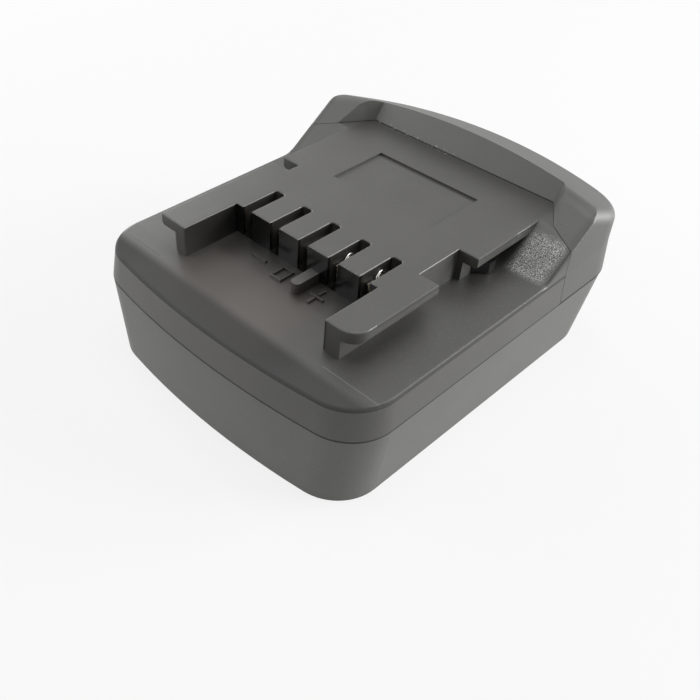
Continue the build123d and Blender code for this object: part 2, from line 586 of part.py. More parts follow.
def lap_rim():
    """Thin upstand inside the joint line that keeps the two shells in register."""
    outer = extrude(case_outline(HALF_WIDTH, 0, LENGTH, WALL + LAP_GAP), PARTING_HEIGHT + LAP_RISE)
    inner = extrude(case_outline(HALF_WIDTH, 0, LENGTH, WALL + LAP_GAP + LAP_THICKNESS), PARTING_HEIGHT + LAP_RISE)
    return (outer - inner) & slab((-WIDTH, WIDTH), (0, SEAM_SIDE - 2 * SEAM_WALL),
                                  (TRAY_HEIGHT - ROOF_THICKNESS / 2, PARTING_HEIGHT + LAP_RISE))


def slide_supports():
    """Ribs in the tray under the latch slide, and the two posts that hold the springs and their pins."""
    pieces = []
    top = PLATE_HEIGHT - SLIDE_GAP
    for side in (-1, 1):
        pieces.append(slab((side * SUPPORT_OFFSET, side * (SUPPORT_OFFSET + SUPPORT_THICKNESS)),
                           (SUPPORT_DEPTH, SUPPORT_DEPTH + SUPPORT_LENGTH), (TRAY_HEIGHT - WALL / 2, top)))
        x = side * SPRING_OFFSET
        seat = slab((x - SEAT_WIDTH / 2, x + SEAT_WIDTH / 2), (SEAT_DEPTH, SEAT_DEPTH + SEAT_LENGTH),
                    (TRAY_HEIGHT - WALL / 2, top))
        pieces.append(seat - rod(x, (SEAT_DEPTH - WALL, SEAT_DEPTH + SEAT_LENGTH + WALL),
                                 GUIDE_PIN_RADIUS + SCREW_GAP))
    return pieces


def rod(x, depth_range, radius):
    """Cylinder along Y at the height of the springs."""
    low, high = depth_range
    return Pos(x, back((low + high) / 2), SPRING_HEIGHT) * Rot(90, 0, 0) * Cylinder(radius, high - low)


def catch_pocket_space():
    """Pocket in the channel roof that the pack's own latch springs into."""
    front = LENGTH - CATCH_POCKET_FROM_REAR
    return slab((-CATCH_POCKET_HALF_WIDTH, CATCH_POCKET_HALF_WIDTH), (front, front + CATCH_POCKET_LENGTH),
                (ROOF_HEIGHT - WALL, ROOF_HEIGHT + CATCH_POCKET_RISE))


def catch_pocket():
    """Closed housing over the catch pocket."""
    front = LENGTH - CATCH_POCKET_FROM_REAR - CATCH_POCKET_WALL
    half = CATCH_POCKET_HALF_WIDTH + CATCH_POCKET_WALL
    return slab((-half, half), (front, front + CATCH_POCKET_LENGTH + 2 * CATCH_POCKET_WALL),
                (ROOF_HEIGHT, ROOF_HEIGHT + CATCH_POCKET_RISE + CATCH_POCKET_WALL))


def carrier_screw_places():
    """Places of the two screws that hold the contact carrier, between its pockets."""
    middle = (CARRIER_FRONT_DEPTH + CARRIER_REAR_DEPTH) / 2
    return [(side * 1.5 * SLOT_PITCH, middle) for side in (-1, 1)]


def board_screw_places():
    """Places of the two screws that hold the circuit board."""
    return [(side * BOARD_SCREW_OFFSET, BOARD_SCREW_DEPTH) for side in (-1, 1)]


def block_screw_places():
    """Places of the two screws that hold the terminal block, between its blades."""
    return [(side * 1.5 * BLADE_PITCH, BLOCK_REAR_DEPTH - BLOCK_SCREW_INSET) for side in (-1, 1)]


def small_screw_holes():
    """Blind holes in the channel roof for the small screws, from above and from below."""
    head_radius, head_height, shank_radius, length = SMALL_SCREW
    radius = shank_radius + SCREW_GAP
    carrier_tip = TRAY_HEIGHT + CARRIER_SCREW_SEAT - length - SCREW_GAP
    board_tip = BOARD_TOP - length - SCREW_GAP
    block_tip = ROOF_HEIGHT - BLOCK_SCREW_SINK + length + SCREW_GAP
    holes = [post(x, depth, (carrier_tip, TRAY_HEIGHT + WALL), radius) for x, depth in carrier_screw_places()]
    holes += [post(x, depth, (board_tip, TRAY_HEIGHT + WALL), radius) for x, depth in board_screw_places()]
    holes += [post(x, depth, (ROOF_HEIGHT - WALL, block_tip), radius) for x, depth in block_screw_places()]
    return holes


def screws(places, seat_height, size, head_below):
    """Like screws at several places. The head's flat underside lies at the seat height."""
    head_radius, head_height, shank_radius, length = size
    up = 1 if head_below else -1
    group = []
    for x, depth in places:
        head = post(x, depth, sorted((seat_height, seat_height - up * head_height)), head_radius)
        rim = head.edges().filter_by(GeomType.CIRCLE).sort_by(Axis.Z)[0 if head_below else -1]
        head = fillet(rim, head_height * 0.4)
        shank = post(x, depth, sorted((seat_height, seat_height + up * length)), shank_radius)
        tip = shank.edges().filter_by(GeomType.CIRCLE).sort_by(Axis.Z)[-1 if head_below else 0]
        screw = head + chamfer(tip, shank_radius * 0.5)
        outer, inner = sorted((seat_height - up * head_height, seat_height - up * head_height * 0.4))
        for along, across in ((DRIVE_RADIUS, DRIVE_RADIUS / 4), (DRIVE_RADIUS / 4, DRIVE_RADIUS)):
            screw = screw - slab((x - along, x + along), (depth - across, depth + across), (outer, inner))
        group.append(screw)
    return Compound(children=group)


def latch_slide():
    """Flat slide fixed under the key: two cam arms, a crossbar with spring lugs and a rear plate."""
    heights = (PLATE_HEIGHT, PLATE_TOP)
    slide = slab((-ARM_OUTER, ARM_OUTER), (REAR_PLATE_FRONT, REAR_PLATE_REAR), heights)
    slide = slide + slab((-ARM_OUTER, ARM_OUTER), (CROSSBAR_DEPTH, CROSSBAR_REAR), heights)
    head_radius, head_height, shank_radius, length = KEY_SCREW
    for side in (-1, 1):
        slide = slide + slab((side * ARM_INNER, side * ARM_OUTER), (ARM_FRONT_DEPTH, REAR_PLATE_REAR), heights)
        slide = slide - cam_slot(side)
        x = side * SPRING_OFFSET
        slide = slide + slab((x - LUG_WIDTH / 2, x + LUG_WIDTH / 2), (CROSSBAR_DEPTH, CROSSBAR_REAR),
                             (SPRING_HEIGHT - LUG_WIDTH / 2, PLATE_TOP))
        slide = slide - rod(x, (CROSSBAR_DEPTH - WALL, CROSSBAR_REAR + WALL), GUIDE_PIN_RADIUS + PIN_GAP)
        slide = slide - post(side * KEY_BOSS_OFFSET, KEY_BOSS_DEPTH, heights, shank_radius + SLIDE_GAP)
    return slide


def cam_slot(side):
    """Slanted slot that draws the catch inwards while the slide goes to the rear."""
    width = 2 * (CAM_PIN_RADIUS + PIN_GAP)
    run = math.hypot(CATCH_TRAVEL, KEY_TRAVEL)
    turn = math.degrees(math.atan2(KEY_TRAVEL, side * CATCH_TRAVEL))
    middle = Pos(side * (CAM_PIN_OFFSET - CATCH_TRAVEL / 2), back(CATCH_MID_DEPTH - KEY_TRAVEL / 2), PLATE_HEIGHT)
    return middle * Rot(0, 0, turn) * extrude(SlotOverall(run + width, width), PLATE_THICKNESS)


def catch(side):
    """Sliding catch: body between its guides, a tooth through the rail's web and a cam pin below."""
    depths = (CATCH_DEPTH, CATCH_DEPTH + CATCH_LENGTH)
    bottom = PLATE_TOP + SLIDE_GAP
    body = slab((side * CATCH_INNER, side * ARM_OUTER), depths, (bottom, PLATEAU_UNDERSIDE - SLIDE_GAP))
    tooth_bottom = DECK_HEIGHT + TOOTH_LIFT
    tooth = prism([(side * (ARM_OUTER - WALL), depths[0]), (side * WEB_HALF_WIDTH, depths[0]),
                   (side * CATCH_TIP, depths[0] + TOOTH_RAMP), (side * CATCH_TIP, depths[1]),
                   (side * (ARM_OUTER - WALL), depths[1])], (tooth_bottom, tooth_bottom + TOOTH_THICKNESS))
    pin = post(side * CAM_PIN_OFFSET, CATCH_MID_DEPTH, (PLATE_HEIGHT + SLIDE_GAP, bottom + WALL), CAM_PIN_RADIUS)
    return body + tooth + pin


def key_spring(side):
    """Coil spring between the slide's lug and the fixed post, one unbroken wire."""
    start = CROSSBAR_REAR + SPRING_WIRE_RADIUS + SPRING_END_GAP
    height = SEAT_DEPTH - SPRING_WIRE_RADIUS - SPRING_END_GAP - start
    coil = Helix(height / SPRING_TURNS, height, SPRING_RADIUS)
    wire = sweep(Plane(coil @ 0, z_dir=coil % 0) * Circle(SPRING_WIRE_RADIUS), path=coil)
    print("spring gap between turns", round(height / SPRING_TURNS - 2 * SPRING_WIRE_RADIUS, 2))
    return Pos(side * SPRING_OFFSET, back(start), SPRING_HEIGHT) * Rot(-90, 0, 0) * wire


def guide_pin(side):
    """Steel pin that carries the spring and guides the slide, held in the fixed post."""
    pin = rod(side * SPRING_OFFSET, (CROSSBAR_DEPTH - PIN_OVERHANG, SEAT_DEPTH + SEAT_LENGTH), GUIDE_PIN_RADIUS)
    return chamfer(pin.edges().filter_by(GeomType.CIRCLE), GUIDE_PIN_RADIUS / 4)


def contact_carrier():
    """Moulded block under the comb with an open pocket for each contact and two grooves for the thin leads."""
    half = SLOT_OFFSETS[-1] + CARRIER_SIDE
    carrier = slab((-half, half), (CARRIER_FRONT_DEPTH, CARRIER_REAR_DEPTH), (TRAY_HEIGHT, CARRIER_TOP))
    for x in SLOT_OFFSETS:
        carrier = carrier - slab((x - POCKET_WIDTH / 2, x + POCKET_WIDTH / 2),
                                 (CARRIER_FRONT_DEPTH + POCKET_FRONT_WALL, CARRIER_REAR_DEPTH + WALL),
                                 (BOARD_TOP, CARRIER_TOP + WALL))
    for side in (-1, 1):
        x = side * SLOT_PITCH / 2
        carrier = carrier - slab((x - GROOVE_WIDTH / 2, x + GROOVE_WIDTH / 2),
                                 (CARRIER_FRONT_DEPTH - WALL, CARRIER_REAR_DEPTH + WALL),
                                 (CARRIER_TOP - GROOVE_SINK, CARRIER_TOP + WALL))
    head_radius, head_height, shank_radius, length = SMALL_SCREW
    for x, depth in carrier_screw_places():
        seat = TRAY_HEIGHT + CARRIER_SCREW_SEAT
        carrier = carrier - post(x, depth, (seat, CARRIER_TOP + WALL), head_radius + SLIDE_GAP)
        carrier = carrier - post(x, depth, (TRAY_HEIGHT - WALL, CARRIER_TOP), shank_radius + SCREW_GAP)
    return carrier


def tool_contact(x):
    """Sheet-metal fork: a foot with a tail on the board and two leaves that pinch the tool's blade."""
    foot_top = BOARD_TOP + CONTACT_SHEET
    depths = (CONTACT_FRONT_DEPTH, CONTACT_FRONT_DEPTH + CONTACT_LENGTH)
    contact = slab((x - CONTACT_HALF_WIDTH, x + CONTACT_HALF_WIDTH), depths, (BOARD_TOP, foot_top))
    top = PLATEAU_HEIGHT - CONTACT_TOP_DROP
    bend = BOARD_TOP + CONTACT_BEND_SHARE * (top - BOARD_TOP)
    pinch = BOARD_TOP + CONTACT_PINCH_SHARE * (top - BOARD_TOP)
    inner = [(CONTACT_HALF_WIDTH - CONTACT_SHEET, BOARD_TOP), (CONTACT_HALF_WIDTH - CONTACT_SHEET, bend),
             (CONTACT_PINCH, pinch), (CONTACT_PINCH + CONTACT_FLARE, top)]
    for side in (-1, 1):
        outline = [(x + side * reach, height) for reach, height in inner]
        outline += [(x + side * (reach + CONTACT_SHEET), height) for reach, height in reversed(inner)]
        leaf = extrude(Plane.XZ * make_face(Polyline(*outline, close=True)), CONTACT_LENGTH)
        contact = contact + Pos(0, back(depths[1]), 0) * leaf
    tail = slab((x - CONTACT_TAIL_WIDTH / 2, x + CONTACT_TAIL_WIDTH / 2),
                (depths[1], BOARD_FRONT_DEPTH + CONTACT_TAIL_LANDING), (BOARD_TOP, foot_top))
    return contact + tail


def circuit_board():
    """Small board behind the carrier, on two low bosses."""
    depths = (BOARD_FRONT_DEPTH, BOARD_FRONT_DEPTH + BOARD_LENGTH)
    board = slab((-BOARD_HALF_WIDTH, BOARD_HALF_WIDTH), depths, (BOARD_BOTTOM, BOARD_TOP))
    board = fillet(board.edges().filter_by(Axis.Z), BOARD_CORNER_RADIUS)
    for x, depth in board_screw_places():
        board = board - post(x, depth, (BOARD_BOTTOM, BOARD_TOP), SMALL_SCREW[2] + SCREW_GAP)
    return board


def board_bosses():
    """Low bosses on the tray under the board's screws."""
    return [post(x, depth, (TRAY_HEIGHT - WALL / 2, BOARD_BOTTOM), SMALL_SCREW[0]) for x, depth in board_screw_places()]


def control_chip():
    """Chip on the board with a row of bent legs on each side."""
    width, length, height = CHIP_WIDTH, CHIP_LENGTH, CHIP_HEIGHT
    x, depth = -CHIP_OFFSET, BOARD_FRONT_DEPTH + BOARD_LENGTH / 2
    bottom = BOARD_TOP + CHIP_LEG_THICKNESS
    chip = slab((x - width / 2, x + width / 2), (depth - length / 2, depth + length / 2), (bottom, bottom + height))
    for k in range(CHIP_LEG_COUNT):
        leg_x = x + ((k + 0.5) / CHIP_LEG_COUNT - 0.5) * width
        for side in (-1, 1):
            inner, outer = depth + side * length * 0.4, depth + side * (length / 2 + CHIP_LEG_REACH)
            chip = chip + slab((leg_x - CHIP_LEG_WIDTH / 2, leg_x + CHIP_LEG_WIDTH / 2), (inner, outer),
                               (BOARD_TOP, bottom))
    return chip


def capacitor():
    """Round capacitor that stands on the board, with a rolled groove near its foot."""
    radius, groove = CAPACITOR_RADIUS, CAPACITOR_GROOVE
    profile = make_face(Polyline(
        (0, 0), (radius - groove, 0), (radius, groove), (radius, 2 * groove), (radius - groove, 3 * groove),
        (radius - groove, 4 * groove), (radius, 5 * groove), (radius, CAPACITOR_HEIGHT - groove),
        (radius - groove, CAPACITOR_HEIGHT), (0, CAPACITOR_HEIGHT), close=True))
    depth = BOARD_FRONT_DEPTH + BOARD_LENGTH / 2
    return Pos(0, back(depth), BOARD_TOP) * revolve(Plane.XZ * profile, Axis.Z)


def pack_blade(x, height, shorter):
    """Blade that enters the pack's socket, with a riser that stands up into the tray."""
    reach = BLOCK_REAR_DEPTH + BLADE_REACH - shorter
    sides = (x - BLADE_THICKNESS / 2, x + BLADE_THICKNESS / 2)
    blade = slab(sides, (BLADE_FRONT_DEPTH, reach), (BLADE_BOTTOM_HEIGHT, BLADE_BOTTOM_HEIGHT + height))
    tips = blade.edges().filter_by(Axis.Z).group_by(Axis.Y)[-1]
    blade = chamfer(tips, BLADE_THICKNESS / 4)
    return blade + slab(sides, (BLADE_FRONT_DEPTH, BLADE_FRONT_DEPTH + RISER_LENGTH), (BLADE_BOTTOM_HEIGHT, RISER_TOP))


def pack_blades():
    """Name and solid of each of the four blades."""
    outer, inner = 2 * BLADE_PITCH, BLADE_PITCH
    return {
        "positive_blade": pack_blade(outer, POWER_BLADE_HEIGHT, 0),
        "negative_blade": pack_blade(-outer, POWER_BLADE_HEIGHT, 0),
        "right_signal_blade": pack_blade(inner, SIGNAL_BLADE_HEIGHT, SIGNAL_BLADE_SHORTER),
        "left_signal_blade": pack_blade(-inner, SIGNAL_BLADE_HEIGHT, SIGNAL_BLADE_SHORTER),
    }


def terminal_block():
    """Moulded block at the channel's front end that holds the blades. Its neck passes through the roof."""
    block = slab((-BLOCK_HALF_WIDTH, BLOCK_HALF_WIDTH), (BLOCK_FRONT_DEPTH, BLOCK_REAR_DEPTH),
                 (BLOCK_BOTTOM_HEIGHT, ROOF_HEIGHT))
    block = fillet(block.edges().filter_by(Axis.Z), BOARD_CORNER_RADIUS)
    block = block + slab((-NECK_HALF_WIDTH, NECK_HALF_WIDTH), (NECK_FRONT_DEPTH, NECK_FRONT_DEPTH + NECK_LENGTH),
                         (ROOF_HEIGHT - WALL, TRAY_HEIGHT + NECK_RISE))
    head_radius, head_height, shank_radius, length = SMALL_SCREW
    for x, depth in block_screw_places():
        seat = ROOF_HEIGHT - BLOCK_SCREW_SINK
        block = block - post(x, depth, (0, seat), head_radius + SLIDE_GAP)
        block = block - post(x, depth, (seat, ROOF_HEIGHT), shank_radius + SCREW_GAP)
    for blade in pack_blades().values():
        block = block - blade
    return block


def lead(points, radius):
    """Round lead along straight runs joined by arcs as large as the runs allow."""
    route = [Vector(x, back(depth), height) for x, depth, height in points]
    bends = []
    for before, here, after in zip(route, route[1:], route[2:]):
        half_turn = math.radians((here - before).get_angle(after - here)) / 2
        shorter = min((here - before).length, (after - here).length)
        bends.append(LEAD_BEND_SHARE * shorter / math.tan(half_turn))
    print("lead bend radii", [round(bend, 1) for bend in bends])
    path = FilletPolyline(*route, radius=bends)
    return sweep(Plane(route[0], z_dir=route[1] - route[0]) * Circle(radius), path=path)


def power_lead(side):
    """Thick lead from a power blade's riser, round the carrier, to the board."""
    start = BLADE_FRONT_DEPTH + RISER_LENGTH
    end_depth = BOARD_FRONT_DEPTH + POWER_LEAD_LANDING
    return lead([(side * 2 * BLADE_PITCH, start, LEAD_HEIGHT),
                 (side * 2 * BLADE_PITCH, start + BLADE_PITCH / 2, LEAD_HEIGHT),
                 (side * POWER_LEAD_OFFSET, CARRIER_FRONT_DEPTH - SLIDE_GAP, LEAD_HEIGHT),
                 (side * POWER_LEAD_OFFSET, CARRIER_REAR_DEPTH, LEAD_HEIGHT),
                 (side * POWER_LEAD_END_OFFSET, end_depth, LEAD_HEIGHT)], POWER_LEAD_RADIUS)


def signal_lead(side):
    """Thin lead from a signal blade's riser, through the carrier's groove, down to the board."""
    start = BLADE_FRONT_DEPTH + RISER_LENGTH
    groove_x = side * SLOT_PITCH / 2
    groove_height = CARRIER_TOP - GROOVE_SINK / 2
    landing_height = BOARD_TOP + SIGNAL_LEAD_RADIUS + LEAD_BOARD_GAP
    return lead([(side * BLADE_PITCH, start, LEAD_HEIGHT),
                 (side * BLADE_PITCH, start + BLADE_PITCH / 2, LEAD_HEIGHT),
                 (groove_x, CARRIER_FRONT_DEPTH - 2 * GROOVE_WIDTH, groove_height),
                 (groove_x, CARRIER_REAR_DEPTH, groove_height),
                 (groove_x, BOARD_FRONT_DEPTH + CONTACT_TAIL_LANDING, landing_height)], SIGNAL_LEAD_RADIUS)


def all_parts():
    """Name and solid of every piece, in the order of assembly."""
    parts = {"lower_shell": lower_shell() + board_bosses(), "terminal_block": terminal_block()}
    parts["lower_shell"] = parts["lower_shell"] - small_screw_holes()
    parts.update(pack_blades())
    parts["block_screws"] = screws(block_screw_places(), ROOF_HEIGHT - BLOCK_SCREW_SINK, SMALL_SCREW, True)
    parts["contact_carrier"] = contact_carrier()
    parts["carrier_screws"] = screws(carrier_screw_places(), TRAY_HEIGHT + CARRIER_SCREW_SEAT, SMALL_SCREW, False)
    for name, x in zip(CONTACT_NAMES, SLOT_OFFSETS):
        parts[name] = tool_contact(x)
    parts["circuit_board"] = circuit_board()
    parts["board_screws"] = screws(board_screw_places(), BOARD_TOP, SMALL_SCREW, False)
    parts["control_chip"] = control_chip()
    parts["capacitor"] = capacitor()
    for name, side in (("left", -1), ("right", 1)):
        parts[name + "_guide_pin"] = guide_pin(side)
        parts[name + "_key_spring"] = key_spring(side)
        parts[name + "_catch"] = catch(side)
        parts[name + "_signal_lead"] = signal_lead(side)
    parts["negative_lead"] = power_lead(-1)
    parts["positive_lead"] = power_lead(1)
    parts["latch_slide"] = latch_slide()
    parts["release_key"] = release_key()
    parts["key_screws"] = screws([(side * KEY_BOSS_OFFSET, KEY_BOSS_DEPTH) for side in (-1, 1)],
                                 PLATE_HEIGHT, KEY_SCREW, True)
    parts["top_cover"] = top_cover()
    parts["case_screws"] = screws(case_screw_places(), CASE_SCREW_SEAT_HEIGHT, CASE_SCREW, True)
    return parts


os.makedirs("parts", exist_ok=True)
for name, part in all_parts().items():
    export_step(part, os.path.join("parts", name + ".step"))
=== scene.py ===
import math
import bpy
from mathutils import Matrix, Vector


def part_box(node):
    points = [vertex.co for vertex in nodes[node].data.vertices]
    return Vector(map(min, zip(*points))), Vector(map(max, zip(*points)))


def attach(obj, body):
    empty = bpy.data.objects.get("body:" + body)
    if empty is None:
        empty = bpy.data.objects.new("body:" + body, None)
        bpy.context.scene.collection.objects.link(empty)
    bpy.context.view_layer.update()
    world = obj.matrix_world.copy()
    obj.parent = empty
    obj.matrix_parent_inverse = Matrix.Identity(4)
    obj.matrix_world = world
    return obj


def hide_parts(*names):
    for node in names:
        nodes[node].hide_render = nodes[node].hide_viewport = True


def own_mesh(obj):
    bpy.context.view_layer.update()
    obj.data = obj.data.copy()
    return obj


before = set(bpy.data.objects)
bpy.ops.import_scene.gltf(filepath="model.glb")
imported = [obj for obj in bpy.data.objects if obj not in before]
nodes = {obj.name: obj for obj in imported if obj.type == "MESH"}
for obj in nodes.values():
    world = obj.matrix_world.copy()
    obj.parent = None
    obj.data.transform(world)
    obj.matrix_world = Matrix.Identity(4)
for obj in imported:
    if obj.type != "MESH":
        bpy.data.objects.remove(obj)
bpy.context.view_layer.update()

# Camera. It stands off the front right corner and looks down on the rails, with a short telephoto lens.
azimuth, elevation, roll = (math.radians(angle) for angle in (44.94, 43.21, -1.68))
ahead = Vector((
    -math.sin(azimuth) * math.cos(elevation), math.cos(azimuth) * math.cos(elevation), -math.sin(elevation)))
level_right = Vector((math.cos(azimuth), math.sin(azimuth), 0.0))
level_down = ahead.cross(level_right)
image_right = math.cos(roll) * level_right + math.sin(roll) * level_down
image_down = math.cos(roll) * level_down - math.sin(roll) * level_right
camera_data = bpy.data.cameras.new("camera")
camera_data.lens = 43.69
camera_data.sensor_width = 36.0
camera_data.shift_x = 0.0951
camera_data.shift_y = 0.0423
camera_data.clip_start = 0.01
camera = bpy.data.objects.new("camera", camera_data)
camera.matrix_world = Matrix.Translation((0.10234, -0.12825, 0.13382)) @ Matrix((
    (image_right.x, -image_down.x, -ahead.x),
    (image_right.y, -image_down.y, -ahead.y),
    (image_right.z, -image_down.z, -ahead.z))).to_4x4()
bpy.context.scene.collection.objects.link(camera)
bpy.context.scene.camera = camera
bpy.context.scene.view_settings.view_transform = "Standard"


# Floor and room. A plain white sheet that the camera, metal and glass see as white, and that keeps the shadow.
def seen_as_white(tree, lit_shader, output, share):
    """Mixes a share of plain white over a shader, for the rays of the camera and of what mirrors or lets through."""
    path = tree.nodes.new("ShaderNodeLightPath")
    seen = path.outputs["Is Camera Ray"]
    for ray in ("Is Glossy Ray", "Is Transmission Ray"):
        either = tree.nodes.new("ShaderNodeMath")
        either.operation = "MAXIMUM"
        tree.links.new(seen, either.inputs[0])
        tree.links.new(path.outputs[ray], either.inputs[1])
        seen = either.outputs[0]
    part = tree.nodes.new("ShaderNodeMath")
    part.operation = "MULTIPLY"
    part.inputs[1].default_value = share
    tree.links.new(seen, part.inputs[0])
    on_material = output.bl_idname.endswith("Material")
    white = tree.nodes.new("ShaderNodeEmission" if on_material else "ShaderNodeBackground")
    white.inputs["Color"].default_value = (1.0, 1.0, 1.0, 1.0)
    white.inputs["Strength"].default_value = 1.0
    mix = tree.nodes.new("ShaderNodeMixShader")
    tree.links.new(part.outputs[0], mix.inputs[0])
    tree.links.new(lit_shader.outputs[0], mix.inputs[1])
    tree.links.new(white.outputs[0], mix.inputs[2])
    tree.links.new(mix.outputs[0], output.inputs["Surface"])


world = bpy.data.worlds.new("room")
bpy.context.scene.world = world
world.use_nodes = True
world.node_tree.nodes.clear()
room_light = world.node_tree.nodes.new("ShaderNodeBackground")
room_light.inputs["Color"].default_value = (1.0, 1.0, 1.0, 1.0)
room_light.inputs["Strength"].default_value = 0.12
seen_as_white(world.node_tree, room_light, world.node_tree.nodes.new("ShaderNodeOutputWorld"), 1.0)

floor_mesh = bpy.data.meshes.new("floor")
floor_reach = 3.0
floor_corners = [(x * floor_reach, y * floor_reach, 0) for x, y in ((-1, -1), (1, -1), (1, 1), (-1, 1))]
floor_mesh.from_pydata(floor_corners, [], [(0, 1, 2, 3)])
floor = bpy.data.objects.new("floor", floor_mesh)
bpy.context.scene.collection.objects.link(floor)
floor_material = bpy.data.materials.new("pale_floor")
floor_material.use_nodes = True
floor_shader = floor_material.node_tree.nodes["Principled BSDF"]
floor_shader.inputs["Base Color"].default_value = (0.75, 0.75, 0.75, 1.0)
floor_shader.inputs["Roughness"].default_value = 0.9
seen_as_white(floor_material.node_tree, floor_shader, floor_material.node_tree.nodes["Material Output"], 0.82)
floor_mesh.materials.append(floor_material)


# Lamps. Broad soft panels from the rear right and the left, with weak ones above and at the front left. The near
# corner stays dim.
panel_size = 0.45
panel_target = Vector((0, 0, 0.03))
for lamp_name, place, power in (
        ("panel_rear_right", (0.44, 0.48, 0.18), 7.4),
        ("panel_left", (-0.62, 0.15, 0.1), 2.9),
        ("panel_above", (0.0, 0.05, 0.8), 2.0),
        ("panel_front_left", (-0.5, -0.4, 0.22), 1.8)):
    lamp = bpy.data.lights.new(lamp_name, "AREA")
    lamp.shape = "SQUARE"
    lamp.size = panel_size
    lamp.energy = power
    panel = bpy.data.objects.new(lamp_name, lamp)
    panel.location = place
    panel.rotation_euler = (panel_target - Vector(place)).to_track_quat("-Z", "Y").to_euler()
    bpy.context.scene.collection.objects.link(panel)


# Lower shell. A deep tapered skirt in glass-filled nylon, moulded in one shot with its channel underneath
# and its ribs. Its spark-eroded skin is matt with fine glints, and a thin dark joint line runs round its top,
# with a painted highlight on the skirt's edge just below it.
def new_group(name, inputs, outputs):
    """Shader node group with named sockets. Each input is (name, kind, default)."""
    group = bpy.data.node_groups.new(name, "ShaderNodeTree")
    for socket_name, kind, default in inputs:
        socket = group.interface.new_socket(socket_name, in_out="INPUT", socket_type=kind)
        socket.default_value = default
    for socket_name, kind in outputs:
        group.interface.new_socket(socket_name, in_out="OUTPUT", socket_type=kind)
    return group, group.nodes.new("NodeGroupInput"), group.nodes.new("NodeGroupOutput")


def math_node(tree, operation, *values):
    """Math node whose inputs are sockets or numbers. Gives back its output."""
    node = tree.nodes.new("ShaderNodeMath")
    node.operation = operation
    for socket, value in zip(node.inputs, values):
        if isinstance(value, (int, float)):
            socket.default_value = value
        else:
            tree.links.new(value, socket)
    return node.outputs[0]


def noise(tree, coordinates, scale, detail=2.0, roughness=0.5):
    """Noise over given coordinates. Gives back its value."""
    node = tree.nodes.new("ShaderNodeTexNoise")
    node.inputs["Detail"].default_value = detail
    node.inputs["Roughness"].default_value = roughness
    tree.links.new(coordinates, node.inputs["Vector"])
    if isinstance(scale, (int, float)):
        node.inputs["Scale"].default_value = scale
    else:
        tree.links.new(scale, node.inputs["Scale"])
    return node.outputs["Fac"]


def ramp(tree, value, low, high, from_out=0.0, to_out=1.0):
    """Value stretched from low..high to from_out..to_out, smooth at both ends."""
    node = tree.nodes.new("ShaderNodeMapRange")
    node.interpolation_type = "SMOOTHSTEP"
    tree.links.new(value, node.inputs["Value"])
    for socket_name, number in (("From Min", low), ("From Max", high), ("To Min", from_out), ("To Max", to_out)):
        if isinstance(number, (int, float)):
            node.inputs[socket_name].default_value = number
        else:
            tree.links.new(number, node.inputs[socket_name])
    return node.outputs["Result"]


def mix_colour(tree, factor, first, second):
    """Colour between two colours or sockets. Gives back its output."""
    node = tree.nodes.new("ShaderNodeMix")
    node.data_type = "RGBA"
    tree.links.new(factor, node.inputs["Factor"])
    for socket_name, value in (("A", first), ("B", second)):
        socket = [s for s in node.inputs if s.name == socket_name and s.type == "RGBA"][0]
        if isinstance(value, tuple):
            socket.default_value = (*value, 1.0)
        else:
            tree.links.new(value, socket)
    return [s for s in node.outputs if s.type == "RGBA"][0]


def spark_grain_group():
    """Matt spark-eroded skin: height, glints and cloudy patches for a moulded part."""
    group, inlet, outlet = new_group(
        "spark_grain",
        [("Grain Scale", "NodeSocketFloat", 3600.0), ("Patch Scale", "NodeSocketFloat", 60.0)],
        [("Height", "NodeSocketFloat"), ("Glint", "NodeSocketFloat"), ("Patch", "NodeSocketFloat")])
    coordinates = group.nodes.new("ShaderNodeTexCoord").outputs["Object"]
    grain = noise(group, coordinates, inlet.outputs["Grain Scale"], 3.0, 0.62)
    glints = noise(group, coordinates, math_node(group, "MULTIPLY", inlet.outputs["Grain Scale"], 0.55), 2.0, 0.7)
    patches = noise(group, coordinates, inlet.outputs["Patch Scale"], 4.0, 0.55)
    group.links.new(grain, outlet.inputs["Height"])
    group.links.new(ramp(group, glints, 0.58, 0.74), outlet.inputs["Glint"])
    group.links.new(ramp(group, patches, 0.3, 0.7), outlet.inputs["Patch"])
    return group


spark_grain = spark_grain_group()


def height_band_group():
    """Thin level band round a piece at one height, such as a joint line: 1 on the band, 0 off it."""
    group, inlet, outlet = new_group(
        "height_band",
        [("Height", "NodeSocketFloat", 0.019), ("Half Width", "NodeSocketFloat", 0.0002),
         ("Fade", "NodeSocketFloat", 0.0001)],
        [("Band", "NodeSocketFloat")])
    coordinates = group.nodes.new("ShaderNodeTexCoord").outputs["Object"]
    split = group.nodes.new("ShaderNodeSeparateXYZ")
    group.links.new(coordinates, split.inputs[0])
    away = math_node(group, "ABSOLUTE", math_node(group, "SUBTRACT", split.outputs["Z"], inlet.outputs["Height"]))
    edge = math_node(group, "ADD", inlet.outputs["Half Width"], inlet.outputs["Fade"])
    group.links.new(ramp(group, away, inlet.outputs["Half Width"], edge, 1.0, 0.0), outlet.inputs["Band"])
    return group


height_band = height_band_group()


def place_group(tree, group, **values):
    """A node group in a material with its own values."""
    node = tree.nodes.new("ShaderNodeGroup")
    node.node_tree = group
    for socket_name, value in values.items():
        node.inputs[socket_name.replace("_", " ")].default_value = value
    return node


def new_material(name):
    """Material with a clean Principled shader. Gives back the material, its tree and the shader."""
    material = bpy.data.materials.new(name)
    material.use_nodes = True
    return material, material.node_tree, material.node_tree.nodes["Principled BSDF"]


def bump_from(tree, shader, height, strength, distance):
    """Bump of a height into a shader's normal."""
    node = tree.nodes.new("ShaderNodeBump")
    node.inputs["Strength"].default_value = strength
    node.inputs["Distance"].default_value = distance
    tree.links.new(height, node.inputs["Height"])
    tree.links.new(node.outputs["Normal"], shader.inputs["Normal"])


